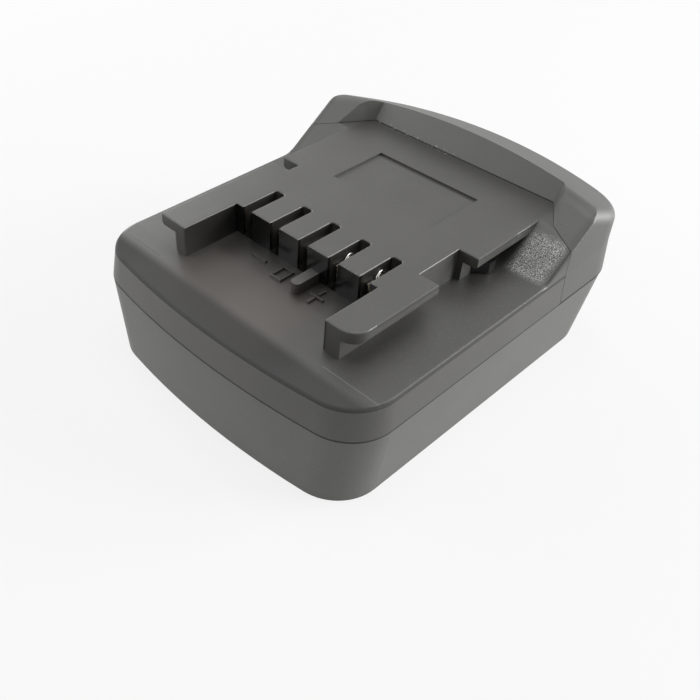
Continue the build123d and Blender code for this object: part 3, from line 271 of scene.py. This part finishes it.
def soft_box_group():
    """Soft-edged box in the object's space: 1 inside, 0 outside. Mirror at 1 takes both sides alike."""
    corners = [
        (f"{end} {axis}", "NodeSocketFloat", value) for axis in "XYZ" for end, value in (("Low", -1.0), ("High", 1.0))]
    group, inlet, outlet = new_group(
        "soft_box", corners + [("Fade", "NodeSocketFloat", 0.0001), ("Mirror", "NodeSocketFloat", 0.0)],
        [("Inside", "NodeSocketFloat")])
    split = group.nodes.new("ShaderNodeSeparateXYZ")
    group.links.new(group.nodes.new("ShaderNodeTexCoord").outputs["Object"], split.inputs[0])
    mirror, fade = inlet.outputs["Mirror"], inlet.outputs["Fade"]
    mirrored = math_node(group, "MULTIPLY", math_node(group, "ABSOLUTE", split.outputs["X"]), mirror)
    plain = math_node(group, "MULTIPLY", split.outputs["X"], math_node(group, "SUBTRACT", 1.0, mirror))
    across = math_node(group, "ADD", mirrored, plain)
    inside = None
    for axis, value in (("X", across), ("Y", split.outputs["Y"]), ("Z", split.outputs["Z"])):
        low, high = inlet.outputs[f"Low {axis}"], inlet.outputs[f"High {axis}"]
        above = ramp(group, value, math_node(group, "SUBTRACT", low, fade), low)
        below = ramp(group, value, high, math_node(group, "ADD", high, fade), 1.0, 0.0)
        both = math_node(group, "MULTIPLY", above, below)
        inside = both if inside is None else math_node(group, "MULTIPLY", inside, both)
    group.links.new(inside, outlet.inputs["Inside"])
    return group


soft_box = soft_box_group()


def flecks_group():
    """Painted glints: scattered pale specks of a coarse moulded skin, where light catches single grains."""
    group, inlet, outlet = new_group(
        "flecks", [("Scale", "NodeSocketFloat", 2600.0), ("Share", "NodeSocketFloat", 0.4)],
        [("Fleck", "NodeSocketFloat")])
    coordinates = group.nodes.new("ShaderNodeTexCoord").outputs["Object"]
    specks = noise(group, coordinates, inlet.outputs["Scale"], 2.0, 0.6)
    start = math_node(group, "SUBTRACT", 0.75, math_node(group, "MULTIPLY", inlet.outputs["Share"], 0.35))
    group.links.new(ramp(group, specks, start, math_node(group, "ADD", start, 0.06)), outlet.inputs["Fleck"])
    return group


flecks = flecks_group()


def area(low, high, tint, strength, fade=0.0001, both_sides=False, flecks_scale=None, share=0.4, rougher=0.0):
    """Part of a skin, from one corner to the other, with a tint or with flecks of it, and a change of roughness."""
    corners = {
        f"{end}_{axis}": value for end, corner in (("Low", low), ("High", high)) for axis, value in zip("XYZ", corner)}
    return {"box": {**corners, "Fade": fade, "Mirror": float(both_sides)}, "tint": tint, "strength": strength,
            "flecks_scale": flecks_scale, "share": share, "rougher": rougher}


glint_pale = (0.3, 0.3, 0.29)


def moulded_shell(name, dark, pale, lines, areas=(), rough=0.44, grain_scale=3600.0, bump=0.3, glint=0.12):
    """Black moulded nylon: grain, cloudy patches, level lines (height, half width, tint, strength) and areas."""
    material, tree, shader = new_material(name)
    grain = place_group(tree, spark_grain, Grain_Scale=grain_scale)
    colour = mix_colour(tree, grain.outputs["Patch"], dark, pale)
    colour = mix_colour(tree, math_node(tree, "MULTIPLY", grain.outputs["Glint"], glint), colour, glint_pale)
    height = grain.outputs["Height"]
    roughness = math_node(tree, "MULTIPLY_ADD", height, 0.2, rough - 0.1)
    for part in areas:
        box = place_group(tree, soft_box, **part["box"])
        inside = math_node(tree, "MULTIPLY", box.outputs["Inside"], part["strength"])
        if part["flecks_scale"]:
            specks = place_group(tree, flecks, Scale=part["flecks_scale"], Share=part["share"])
            inside = math_node(tree, "MULTIPLY", inside, specks.outputs["Fleck"])
            height = math_node(tree, "ADD", height, inside)
        if part["rougher"]:
            roughness = math_node(tree, "MULTIPLY_ADD", inside, part["rougher"], roughness)
        colour = mix_colour(tree, inside, colour, part["tint"])
    for line_height, half_width, tint, strength in lines:
        band = place_group(tree, height_band, Height=line_height, Half_Width=half_width)
        line = math_node(tree, "MULTIPLY", band.outputs["Band"], strength)
        roughness = math_node(tree, "MULTIPLY_ADD", line, 0.5, roughness)
        colour = mix_colour(tree, line, colour, tint)
    tree.links.new(colour, shader.inputs["Base Color"])
    shader.inputs["Specular IOR Level"].default_value = 0.8
    tree.links.new(roughness, shader.inputs["Roughness"])
    bump_from(tree, shader, height, bump, 0.00006)
    return material


def dress(node_name, material):
    """Gives a carried-over solid its material on every slot."""
    piece = nodes[node_name]
    for number in range(max(1, len(piece.material_slots))):
        if not piece.material_slots:
            piece.data.materials.append(material)
        piece.material_slots[number].material = material


# Dark for joint lines and for painted shade along rims and creases; pale for painted highlights on edges.
joint_and_shade_dark = (0.008, 0.008, 0.008)
edge_highlight_pale = (0.16, 0.16, 0.15)
# Lower shell: its dark joint line, and a painted highlight on the skirt's top edge just below it.
dress("lower_shell", moulded_shell(
    "lower_shell_nylon", (0.06, 0.06, 0.054), (0.07, 0.07, 0.063),
    [(0.01902, 0.00014, joint_and_shade_dark, 0.9), (0.01866, 0.00014, edge_highlight_pale, 0.4)], glint=0.08))


# Terminal block and contact carrier. Glass-filled insulators, one moulded round the four blades and screwed up
# into the channel's roof, the other under the comb with a pocket for each contact. They are smoother than the
# shells and have no grain to speak of.
def plain_insulator(name, colour_a, colour_b, rough):
    """Smooth moulded insulator with faint flow marks."""
    material, tree, shader = new_material(name)
    grain = place_group(tree, spark_grain, Grain_Scale=5200.0, Patch_Scale=140.0)
    tree.links.new(mix_colour(tree, grain.outputs["Patch"], colour_a, colour_b), shader.inputs["Base Color"])
    tree.links.new(math_node(tree, "MULTIPLY_ADD", grain.outputs["Patch"], 0.12, rough), shader.inputs["Roughness"])
    bump_from(tree, shader, grain.outputs["Height"], 0.12, 0.00004)
    return material


dress("terminal_block", plain_insulator("terminal_block_resin", (0.03, 0.03, 0.032), (0.042, 0.042, 0.044), 0.42))
dress("contact_carrier", plain_insulator("contact_carrier_resin", (0.045, 0.045, 0.044), (0.06, 0.06, 0.058), 0.45))


# Blades and contacts. Stamped from spring brass and tin-plated, with fine rolling lines along the strip
# and dull rubbed patches where the mating parts slide.
def plated_strip(name, colour_a, colour_b, rough):
    """Tin-plated strip with rolling lines along Y and Z."""
    material, tree, shader = new_material(name)
    coordinates = tree.nodes.new("ShaderNodeTexCoord").outputs["Object"]
    stretch = tree.nodes.new("ShaderNodeMapping")
    stretch.inputs["Scale"].default_value = (1.0, 0.04, 1.0)
    tree.links.new(coordinates, stretch.inputs["Vector"])
    lines = noise(tree, stretch.outputs[0], 4200.0, 2.0, 0.6)
    rubbed = ramp(tree, noise(tree, coordinates, 420.0, 3.0), 0.4, 0.65)
    tree.links.new(mix_colour(tree, rubbed, colour_a, colour_b), shader.inputs["Base Color"])
    shader.inputs["Metallic"].default_value = 1.0
    tree.links.new(math_node(tree, "MULTIPLY_ADD", rubbed, 0.16, rough), shader.inputs["Roughness"])
    bump_from(tree, shader, lines, 0.2, 0.00003)
    return material


tin_plate = plated_strip("tin_plate", (0.78, 0.77, 0.74), (0.62, 0.6, 0.55), 0.24)
for blade_role in ("positive", "negative", "left_signal", "right_signal"):
    dress(blade_role + "_blade", tin_plate)
contact_plate = plated_strip("contact_plate", (0.8, 0.78, 0.72), (0.66, 0.6, 0.48), 0.22)
for contact_role in ("negative", "left_signal", "middle_signal", "right_signal", "positive"):
    dress(contact_role + "_contact", contact_plate)


# Contact lips. Each contact's two leaves end in bright, worn, flared lips that lead the tool's blade in. One
# lip is set twice in each of the five slots by a node tree, turned round for the other leaf.
lip_front, lip_length = -0.0162, 0.0030
lip_foot, lip_rise = 0.0308, 0.0016


def tube_faces(spans, sides):
    """Faces of a closed tube whose rings lie one after another, with both ends capped."""
    faces = [tuple(reversed(range(sides))), tuple(range(spans * sides, (spans + 1) * sides))]
    for low in range(0, spans * sides, sides):
        for k in range(sides):
            after = (k + 1) % sides
            faces.append((low + after, low + sides + after, low + sides + k, low + k))
    return faces


def lip_mesh():
    """One flared lip beside the middle of its slot: a thin strip that curves outward and dips at both ends."""
    steps, spans = 6, 8
    verts = []
    for span in range(spans + 1):
        along = span / spans
        rise = lip_rise - 0.0011 * (2 * along - 1) ** 2
        inner = [(0.0007 + 0.0004 * (k / steps) ** 2, lip_foot + rise * k / steps) for k in range(steps + 1)]
        outline = inner + [(x + 0.00018, z - 0.00006) for x, z in reversed(inner)]
        verts += [(x, lip_front + lip_length * along, z) for x, z in outline]
    mesh = bpy.data.meshes.new("contact_lip")
    mesh.from_pydata(verts, [], tube_faces(spans, 2 * (steps + 1)))
    mesh.shade_smooth()
    return mesh


def placed_copies(name, source_mesh, spots, material):
    """Node tree that sets copies of a mesh on spots (place, scale) and makes them one real mesh."""
    points = bpy.data.meshes.new(name + "_spots")
    points.from_pydata([place for place, _ in spots], [], [])
    scales = points.attributes.new("spot_scale", "FLOAT_VECTOR", "POINT")
    scales.data.foreach_set("vector", [number for _, scale in spots for number in scale])
    source = bpy.data.objects.new(name + "_source", source_mesh)
    bpy.context.scene.collection.objects.link(source)
    holder = bpy.data.objects.new(name, points)
    bpy.context.scene.collection.objects.link(holder)
    tree = bpy.data.node_groups.new(name, "GeometryNodeTree")
    tree.interface.new_socket("Geometry", in_out="INPUT", socket_type="NodeSocketGeometry")
    tree.interface.new_socket("Copied Piece", in_out="INPUT", socket_type="NodeSocketObject")
    tree.interface.new_socket("Material", in_out="INPUT", socket_type="NodeSocketMaterial")
    tree.interface.new_socket("Geometry", in_out="OUTPUT", socket_type="NodeSocketGeometry")
    inlet, outlet = tree.nodes.new("NodeGroupInput"), tree.nodes.new("NodeGroupOutput")
    picked = tree.nodes.new("GeometryNodeObjectInfo")
    spot_scale = tree.nodes.new("GeometryNodeInputNamedAttribute")
    spot_scale.data_type = "FLOAT_VECTOR"
    spot_scale.inputs["Name"].default_value = "spot_scale"
    copies = tree.nodes.new("GeometryNodeInstanceOnPoints")
    real = tree.nodes.new("GeometryNodeRealizeInstances")
    skin = tree.nodes.new("GeometryNodeSetMaterial")
    tree.links.new(inlet.outputs["Copied Piece"], picked.inputs["Object"])
    tree.links.new(inlet.outputs["Geometry"], copies.inputs["Points"])
    tree.links.new(picked.outputs["Geometry"], copies.inputs["Instance"])
    tree.links.new(spot_scale.outputs["Attribute"], copies.inputs["Scale"])
    tree.links.new(copies.outputs["Instances"], real.inputs["Geometry"])
    tree.links.new(real.outputs["Geometry"], skin.inputs["Geometry"])
    tree.links.new(inlet.outputs["Material"], skin.inputs["Material"])
    tree.links.new(skin.outputs["Geometry"], outlet.inputs["Geometry"])
    modifier = holder.modifiers.new("copies", "NODES")
    modifier.node_group = tree
    given = {"Copied Piece": source, "Material": material}
    for item in tree.interface.items_tree:
        if item.in_out == "INPUT" and item.name in given:
            modifier[item.identifier] = given[item.name]
    bpy.context.view_layer.update()
    made = bpy.data.meshes.new_from_object(holder.evaluated_get(bpy.context.evaluated_depsgraph_get()))
    holder.modifiers.clear()
    holder.data = made
    made.name = name
    bpy.data.objects.remove(source)
    return holder


lip_plate = plated_strip("worn_lip_plate", (0.95, 0.94, 0.9), (0.85, 0.83, 0.78), 0.18)
slot_pitch = 0.00862
turned_back = 2 * lip_front + lip_length
lips = placed_copies("contact_lips", lip_mesh(), [
    ((slot * slot_pitch, shift, -sunk), (turn, turn, 1.0))
    for slot, sunk in ((-2, 0.0018), (-1, 0.0018), (0, 0.0014), (1, 0.0003), (2, 0.0))
    for turn, shift in ((1.0, 0.0), (-1.0, turned_back))], lip_plate)
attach(lips, "housing")


# Screws. Thread-forming screws for plastic, turned and zinc-plated, with a cross recess. The four long
# ones hold the shells together from below, and the short ones hold the inner pieces.
def plated_steel(name, colour_a, colour_b, rough, line_scale):
    """Plated steel with turning marks that run round the axis."""
    material, tree, shader = new_material(name)
    coordinates = tree.nodes.new("ShaderNodeTexCoord").outputs["Object"]
    marks = noise(tree, coordinates, line_scale, 2.0, 0.55)
    patches = ramp(tree, noise(tree, coordinates, 300.0, 3.0), 0.35, 0.7)
    tree.links.new(mix_colour(tree, patches, colour_a, colour_b), shader.inputs["Base Color"])
    shader.inputs["Metallic"].default_value = 1.0
    tree.links.new(math_node(tree, "MULTIPLY_ADD", patches, 0.15, rough), shader.inputs["Roughness"])
    bump_from(tree, shader, marks, 0.15, 0.00003)
    return material


zinc = plated_steel("zinc_plate", (0.42, 0.42, 0.43), (0.3, 0.3, 0.31), 0.3, 3200.0)
for screw_name in ("case_screws", "block_screws", "carrier_screws", "board_screws", "key_screws"):
    dress(screw_name, zinc)


# Circuit board. Green solder-masked laminate with paler tracks under the mask and a chip and a capacitor.
# The board lies on two bosses behind the carrier and is never seen in use.
def solder_mask():
    """Green mask with tracks that show as paler straight bands."""
    material, tree, shader = new_material("solder_mask")
    coordinates = tree.nodes.new("ShaderNodeTexCoord").outputs["Object"]
    tracks = tree.nodes.new("ShaderNodeTexBrick")
    tracks.inputs["Scale"].default_value = 420.0
    tracks.inputs["Mortar Size"].default_value = 0.09
    tree.links.new(coordinates, tracks.inputs["Vector"])
    green = mix_colour(tree, tracks.outputs["Fac"], (0.012, 0.11, 0.04), (0.05, 0.24, 0.09))
    tree.links.new(green, shader.inputs["Base Color"])
    uneven = noise(tree, coordinates, 900.0)
    tree.links.new(math_node(tree, "MULTIPLY_ADD", uneven, 0.15, 0.22), shader.inputs["Roughness"])
    bump_from(tree, shader, tracks.outputs["Fac"], 0.3, 0.00003)
    return material


dress("circuit_board", solder_mask())
dress("control_chip", plain_insulator("chip_epoxy", (0.012, 0.012, 0.013), (0.02, 0.02, 0.021), 0.35))
dress("capacitor", plated_steel("capacitor_can", (0.5, 0.52, 0.58), (0.4, 0.42, 0.48), 0.25, 1500.0))


# Solder. Small bright cones of tin solder where the contacts' tails and the leads meet the board. They stand in
# two rows behind the board's front edge.
def cone_mesh():
    """Low rounded cone on its base."""
    rings, count, verts, faces = ((1.0, 0.0), (0.62, 0.28), (0.3, 0.62), (0.12, 0.74)), 14, [], []
    turns = [2 * math.pi * k / count for k in range(count)]
    for radius, height in rings:
        verts += [(radius * math.cos(turn), radius * math.sin(turn), height) for turn in turns]
    for low in range(0, (len(rings) - 1) * count, count):
        for k in range(count):
            after = (k + 1) % count
            faces.append((low + k, low + after, low + count + after, low + count + k))
    faces += [tuple(reversed(range(count))), tuple(range((len(rings) - 1) * count, len(rings) * count))]
    mesh = bpy.data.meshes.new("solder_cone")
    mesh.from_pydata(verts, [], faces)
    mesh.shade_smooth()
    return mesh


board_low, board_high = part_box("circuit_board")
solder_row, row_gap = board_low[1] + 0.0052, 0.0025
solder_size, solder_sink = 0.0009, 0.00005
solder = placed_copies("solder_joints", cone_mesh(), [
    ((side * x, solder_row + shift, board_high[2] - solder_sink), (solder_size, solder_size, solder_size))
    for side in (-1, 1) for x in (0.0162, 0.0125, 0.0052, 0.0026) for shift in (0.0, row_gap)],
    plated_steel("solder_metal", (0.72, 0.72, 0.73), (0.6, 0.6, 0.61), 0.25, 1200.0))
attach(solder, "housing")


# Leads. Stranded copper in a smooth extruded sheath: red and black for power, yellow for the signals.
# They are soldered to the blades' risers and to the board.
def extruded_sheath(name, colour_a, colour_b):
    """Extruded sheath with a soft gloss and faint die lines."""
    material, tree, shader = new_material(name)
    coordinates = tree.nodes.new("ShaderNodeTexCoord").outputs["Object"]
    stretch = tree.nodes.new("ShaderNodeMapping")
    stretch.inputs["Scale"].default_value = (1.0, 0.06, 1.0)
    tree.links.new(coordinates, stretch.inputs["Vector"])
    die_lines = noise(tree, stretch.outputs[0], 2600.0, 2.0)
    tree.links.new(mix_colour(tree, die_lines, colour_a, colour_b), shader.inputs["Base Color"])
    tree.links.new(math_node(tree, "MULTIPLY_ADD", die_lines, 0.2, 0.3), shader.inputs["Roughness"])
    bump_from(tree, shader, die_lines, 0.15, 0.00004)
    return material


dress("positive_lead", extruded_sheath("red_sheath", (0.42, 0.015, 0.015), (0.55, 0.03, 0.025)))
dress("negative_lead", extruded_sheath("black_sheath", (0.014, 0.014, 0.014), (0.03, 0.03, 0.03)))
yellow_sheath = extruded_sheath("yellow_sheath", (0.6, 0.42, 0.04), (0.72, 0.52, 0.07))
dress("left_signal_lead", yellow_sheath)
dress("right_signal_lead", yellow_sheath)


# Latch. Music-wire springs on turned pins return an acetal slide, whose slanted slots draw in two catches.
# The springs are wound here, and the slide pushes them against the fixed posts.
# Acetal is slippery and a little glossy.
def coil_mesh(front, rear, height, radius, wire, turns):
    """Closed coil of round wire along Y, one unbroken helix."""
    steps, sides = 28 * turns, 8
    verts = []
    for step in range(steps + 1):
        angle = 2 * math.pi * turns * step / steps
        out = Vector((math.cos(angle), 0, math.sin(angle)))
        middle = out * radius + Vector((0, front + (rear - front) * step / steps, height))
        for side in range(sides):
            around = 2 * math.pi * side / sides
            verts.append(middle + out * wire * math.cos(around) + Vector((0, wire * math.sin(around), 0)))
    mesh = bpy.data.meshes.new("spring_coil")
    mesh.from_pydata(verts, [], tube_faces(steps, sides))
    mesh.shade_smooth()
    return mesh


spring_wire = plated_steel("spring_wire", (0.5, 0.5, 0.52), (0.36, 0.36, 0.38), 0.22, 2600.0)
spring_height, spring_offset, wire_radius = 0.0209, 0.0062, 0.0003
spring_seat = 0.02585
spring_coil = coil_mesh(
    front=0.01425, rear=spring_seat - wire_radius, height=spring_height, radius=0.0022, wire=wire_radius, turns=6)
springs = placed_copies("key_springs", spring_coil, [
    ((x, 0.0, 0.0), (1.0, 1.0, 1.0)) for x in (-spring_offset, spring_offset)], spring_wire)
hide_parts("left_key_spring", "right_key_spring")
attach(springs, "housing")
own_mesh(springs)
for pin_name in ("left_guide_pin", "right_guide_pin"):
    dress(pin_name, spring_wire)
acetal = plain_insulator("black_acetal", (0.005, 0.005, 0.005), (0.008, 0.008, 0.008), 0.3)
for latch_name in ("latch_slide", "left_catch", "right_catch"):
    dress(latch_name, acetal)


# Release key. The arched rear cap, moulded in the same nylon as the shells but with a smoother skin. Painted
# glints, pale flecks, sit along the left half of the foot of its ridge. Its ramp wings are painted paler, as
# painted light, with painted glints near the right wing's top.
# Pale tints for painted glints: along the ridge's foot and on the ramp wings.
ridge_glint_pale = (0.42, 0.42, 0.4)
wing_glint_pale = (0.4, 0.4, 0.38)
# Painted light: both ramp wings are made paler, for the light that their coarser skin scatters.
wings_pale_sheen = area(
    (0.0290, 0.0150, 0.0275), (0.0365, 0.0290, 0.0370), (0.09, 0.09, 0.086), 0.6, fade=0.0016, both_sides=True)
dress("release_key", moulded_shell(
    "release_key_nylon", (0.041, 0.041, 0.038), (0.049, 0.049, 0.045),
    [(0.01925, 0.00016, joint_and_shade_dark, 0.8)],
    # Painted glints along the left half of the ridge's foot.
    [area((-0.0265, 0.0310, 0.0330), (-0.001, 0.0320, 0.0345), ridge_glint_pale, 0.8, fade=0.0003, flecks_scale=1500.0),
     wings_pale_sheen,
     # Painted glints near the top of the right wing.
     area((0.0300, 0.0215, 0.0300), (0.0362, 0.0262, 0.0350), wing_glint_pale, 0.25, fade=0.0014, flecks_scale=5200.0)],
    rough=0.5, grain_scale=4200.0, bump=0.15, glint=0.05))


# Top cover. The upper shell with deck, rails, comb and ramp, in black nylon. The rails' tops are smooth, the
# deck is finely grained and the ramp's right wing is coarse, with painted glints on it and on the deck before it.
# Painted glints also line the fingers' top front edges and the foot of the ridge. A crease crosses the deck's
# front, with a painted highlight on its right and painted shade on its left. The comb, its slots and its mouth
# are smoother and carry painted shade, painted shade lies along the rims of the deck, ramp and rails, and a
# painted warm reflection lies on the deck's front. Both ramp wings are painted paler, as painted light.
# Near black for the painted shade in the comb and its mouth.
shade_black = (0.006, 0.006, 0.006)
# Painted glints: bright specks on the right wing's coarse skin, fainter ones on the left wing, more near the right
# wing's top.
right_wing_glints = area(
    (0.0302, 0.0138, 0.0270), (0.0362, 0.0198, 0.0322), (0.9, 0.9, 0.88), 0.9,
    fade=0.0024, flecks_scale=5200.0, share=0.68)
left_wing_glints = area(
    (-0.0370, 0.0142, 0.0272), (-0.0302, 0.0205, 0.0326), glint_pale, 0.3, fade=0.0018, flecks_scale=5200.0)
wing_top_glints = area((0.0300, 0.0196, 0.0300), (0.0362, 0.0262, 0.0350), wing_glint_pale, 0.3, fade=0.0014, flecks_scale=5200.0)
# Painted glints on the deck's right side, before the ramp.
deck_glints = area(
    (0.0300, -0.0300, 0.0262), (0.0380, 0.0132, 0.0268), (0.3, 0.3, 0.28), 0.16, fade=0.004, flecks_scale=3400.0)
# Painted glints along the fingers' top front edges.
finger_edge_glints = area((-0.0207, -0.02125, 0.0330), (0.0207, -0.02085, 0.0345), glint_pale, 0.7, flecks_scale=1800.0)
# Painted glints along the left half of the ridge's foot.
ridge_foot_glints = area(
    (-0.0265, 0.0308, 0.0335), (-0.001, 0.0316, 0.0345), ridge_glint_pale, 0.8, fade=0.0002, flecks_scale=1500.0)
# Painted highlight on the crease's right half, and painted shade on its left half.
crease_highlight = area((0.024, -0.0396, 0.0255), (0.0385, -0.0393, 0.0268), edge_highlight_pale, 0.4)
crease_shade = area((-0.036, -0.0400, 0.0255), (-0.025, -0.0397, 0.0268), joint_and_shade_dark, 0.5)
# Painted shade along the ramp's outer rims, dulling their highlight.
ramp_rim_shade = area(
    (0.0383, 0.0130, 0.0262), (0.0389, 0.0215, 0.0330), joint_and_shade_dark, 0.8, both_sides=True, rougher=0.3)
# Painted shade along the rails' outer edges, dulling their highlight.
rail_rim_shade = area(
    (0.0283, -0.0300, 0.0330), (0.0288, 0.0150, 0.0345), joint_and_shade_dark, 0.7, fade=0.00005, both_sides=True, rougher=0.4)
# Painted shade, smoother, on the fingers' fronts, in the slots, on the mouth's floor and on its walls.
finger_front_shade = area(
    (-0.0208, -0.0216, 0.0268), (0.0208, -0.0205, 0.0336), shade_black, 1.0, fade=0.0002, rougher=-0.25)
slot_wall_shade = area(
    (-0.0208, -0.0203, 0.0268), (0.0208, 0.0010, 0.0334), (0.02, 0.019, 0.017), 0.8, fade=0.0003, rougher=-0.1)
mouth_floor_shade = area(
    (-0.0180, -0.0275, 0.0262), (0.0180, -0.0214, 0.0268), (0.008, 0.008, 0.008), 0.75, fade=0.0025, rougher=-0.1)
mouth_wall_shade = area(
    (0.0203, -0.0500, 0.0267), (0.0211, -0.0200, 0.0335), shade_black, 0.85, both_sides=True, rougher=-0.12)
# Painted warm reflection on the deck's front.
deck_warm_reflection = area((-0.0150, -0.0420, 0.0262), (0.0100, -0.0300, 0.0268), (0.075, 0.06, 0.048), 0.5, fade=0.01)
dress("top_cover", moulded_shell(
    "top_cover_nylon", (0.042, 0.041, 0.037), (0.052, 0.051, 0.046),
    # The lower level line is the joint; the upper one is painted shade along the deck's rim.
    [(0.01908, 0.00014, joint_and_shade_dark, 0.9), (0.02606, 0.00034, joint_and_shade_dark, 0.8)],
    [wings_pale_sheen, right_wing_glints, left_wing_glints, wing_top_glints, deck_glints, finger_edge_glints, ridge_foot_glints, crease_highlight, crease_shade,
     ramp_rim_shade, rail_rim_shade, finger_front_shade, slot_wall_shade, mouth_floor_shade, mouth_wall_shade, deck_warm_reflection],
    bump=0.22, glint=0.06))


# Polarity signs. Raised strokes on the deck in front of the comb, moulded with the cover: minus, nought
# and plus. They are plain bars with sloping sides, a little over half a millimetre high.
def raised_strokes(name, strokes, base, rise, slope):
    """Mesh of upright bars, each given by its middle, half length and half width, drawn in by the slope on top."""
    verts, faces = [], []
    for middle_x, middle_y, half_x, half_y in strokes:
        start = len(verts)
        for height, shrink in ((base, 0.0), (base + rise, slope)):
            for sign_x, sign_y in ((-1, -1), (1, -1), (1, 1), (-1, 1)):
                verts.append((middle_x + sign_x * (half_x - shrink), middle_y + sign_y * (half_y - shrink), height))
        faces.append((start + 4, start + 5, start + 6, start + 7))
        faces.append((start + 3, start + 2, start + 1, start))
        for corner in range(4):
            after = (corner + 1) % 4
            faces.append((start + corner, start + after, start + 4 + after, start + 4 + corner))
    mesh = bpy.data.meshes.new(name)
    mesh.from_pydata(verts, [], faces)
    piece = bpy.data.objects.new(name, mesh)
    bpy.context.scene.collection.objects.link(piece)
    return piece


minus = [(-0.0094, -0.0247, 0.0022, 0.00042)]
nought = [
    (-0.0018, -0.0233, 0.0017, 0.00035), (-0.0018, -0.0271, 0.0017, 0.00035),
    (-0.00315, -0.0252, 0.00035, 0.00155), (-0.00045, -0.0252, 0.00035, 0.00155)]
plus = [
    (0.0086, -0.0255, 0.0021, 0.00042), (0.0086, -0.02395, 0.00042, 0.00113), (0.0086, -0.02705, 0.00042, 0.00113)]
signs = raised_strokes("polarity_signs", minus + nought + plus, base=0.0265, rise=0.0006, slope=0.00012)
signs.data.materials.append(nodes["top_cover"].material_slots[0].material)
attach(signs, "housing")
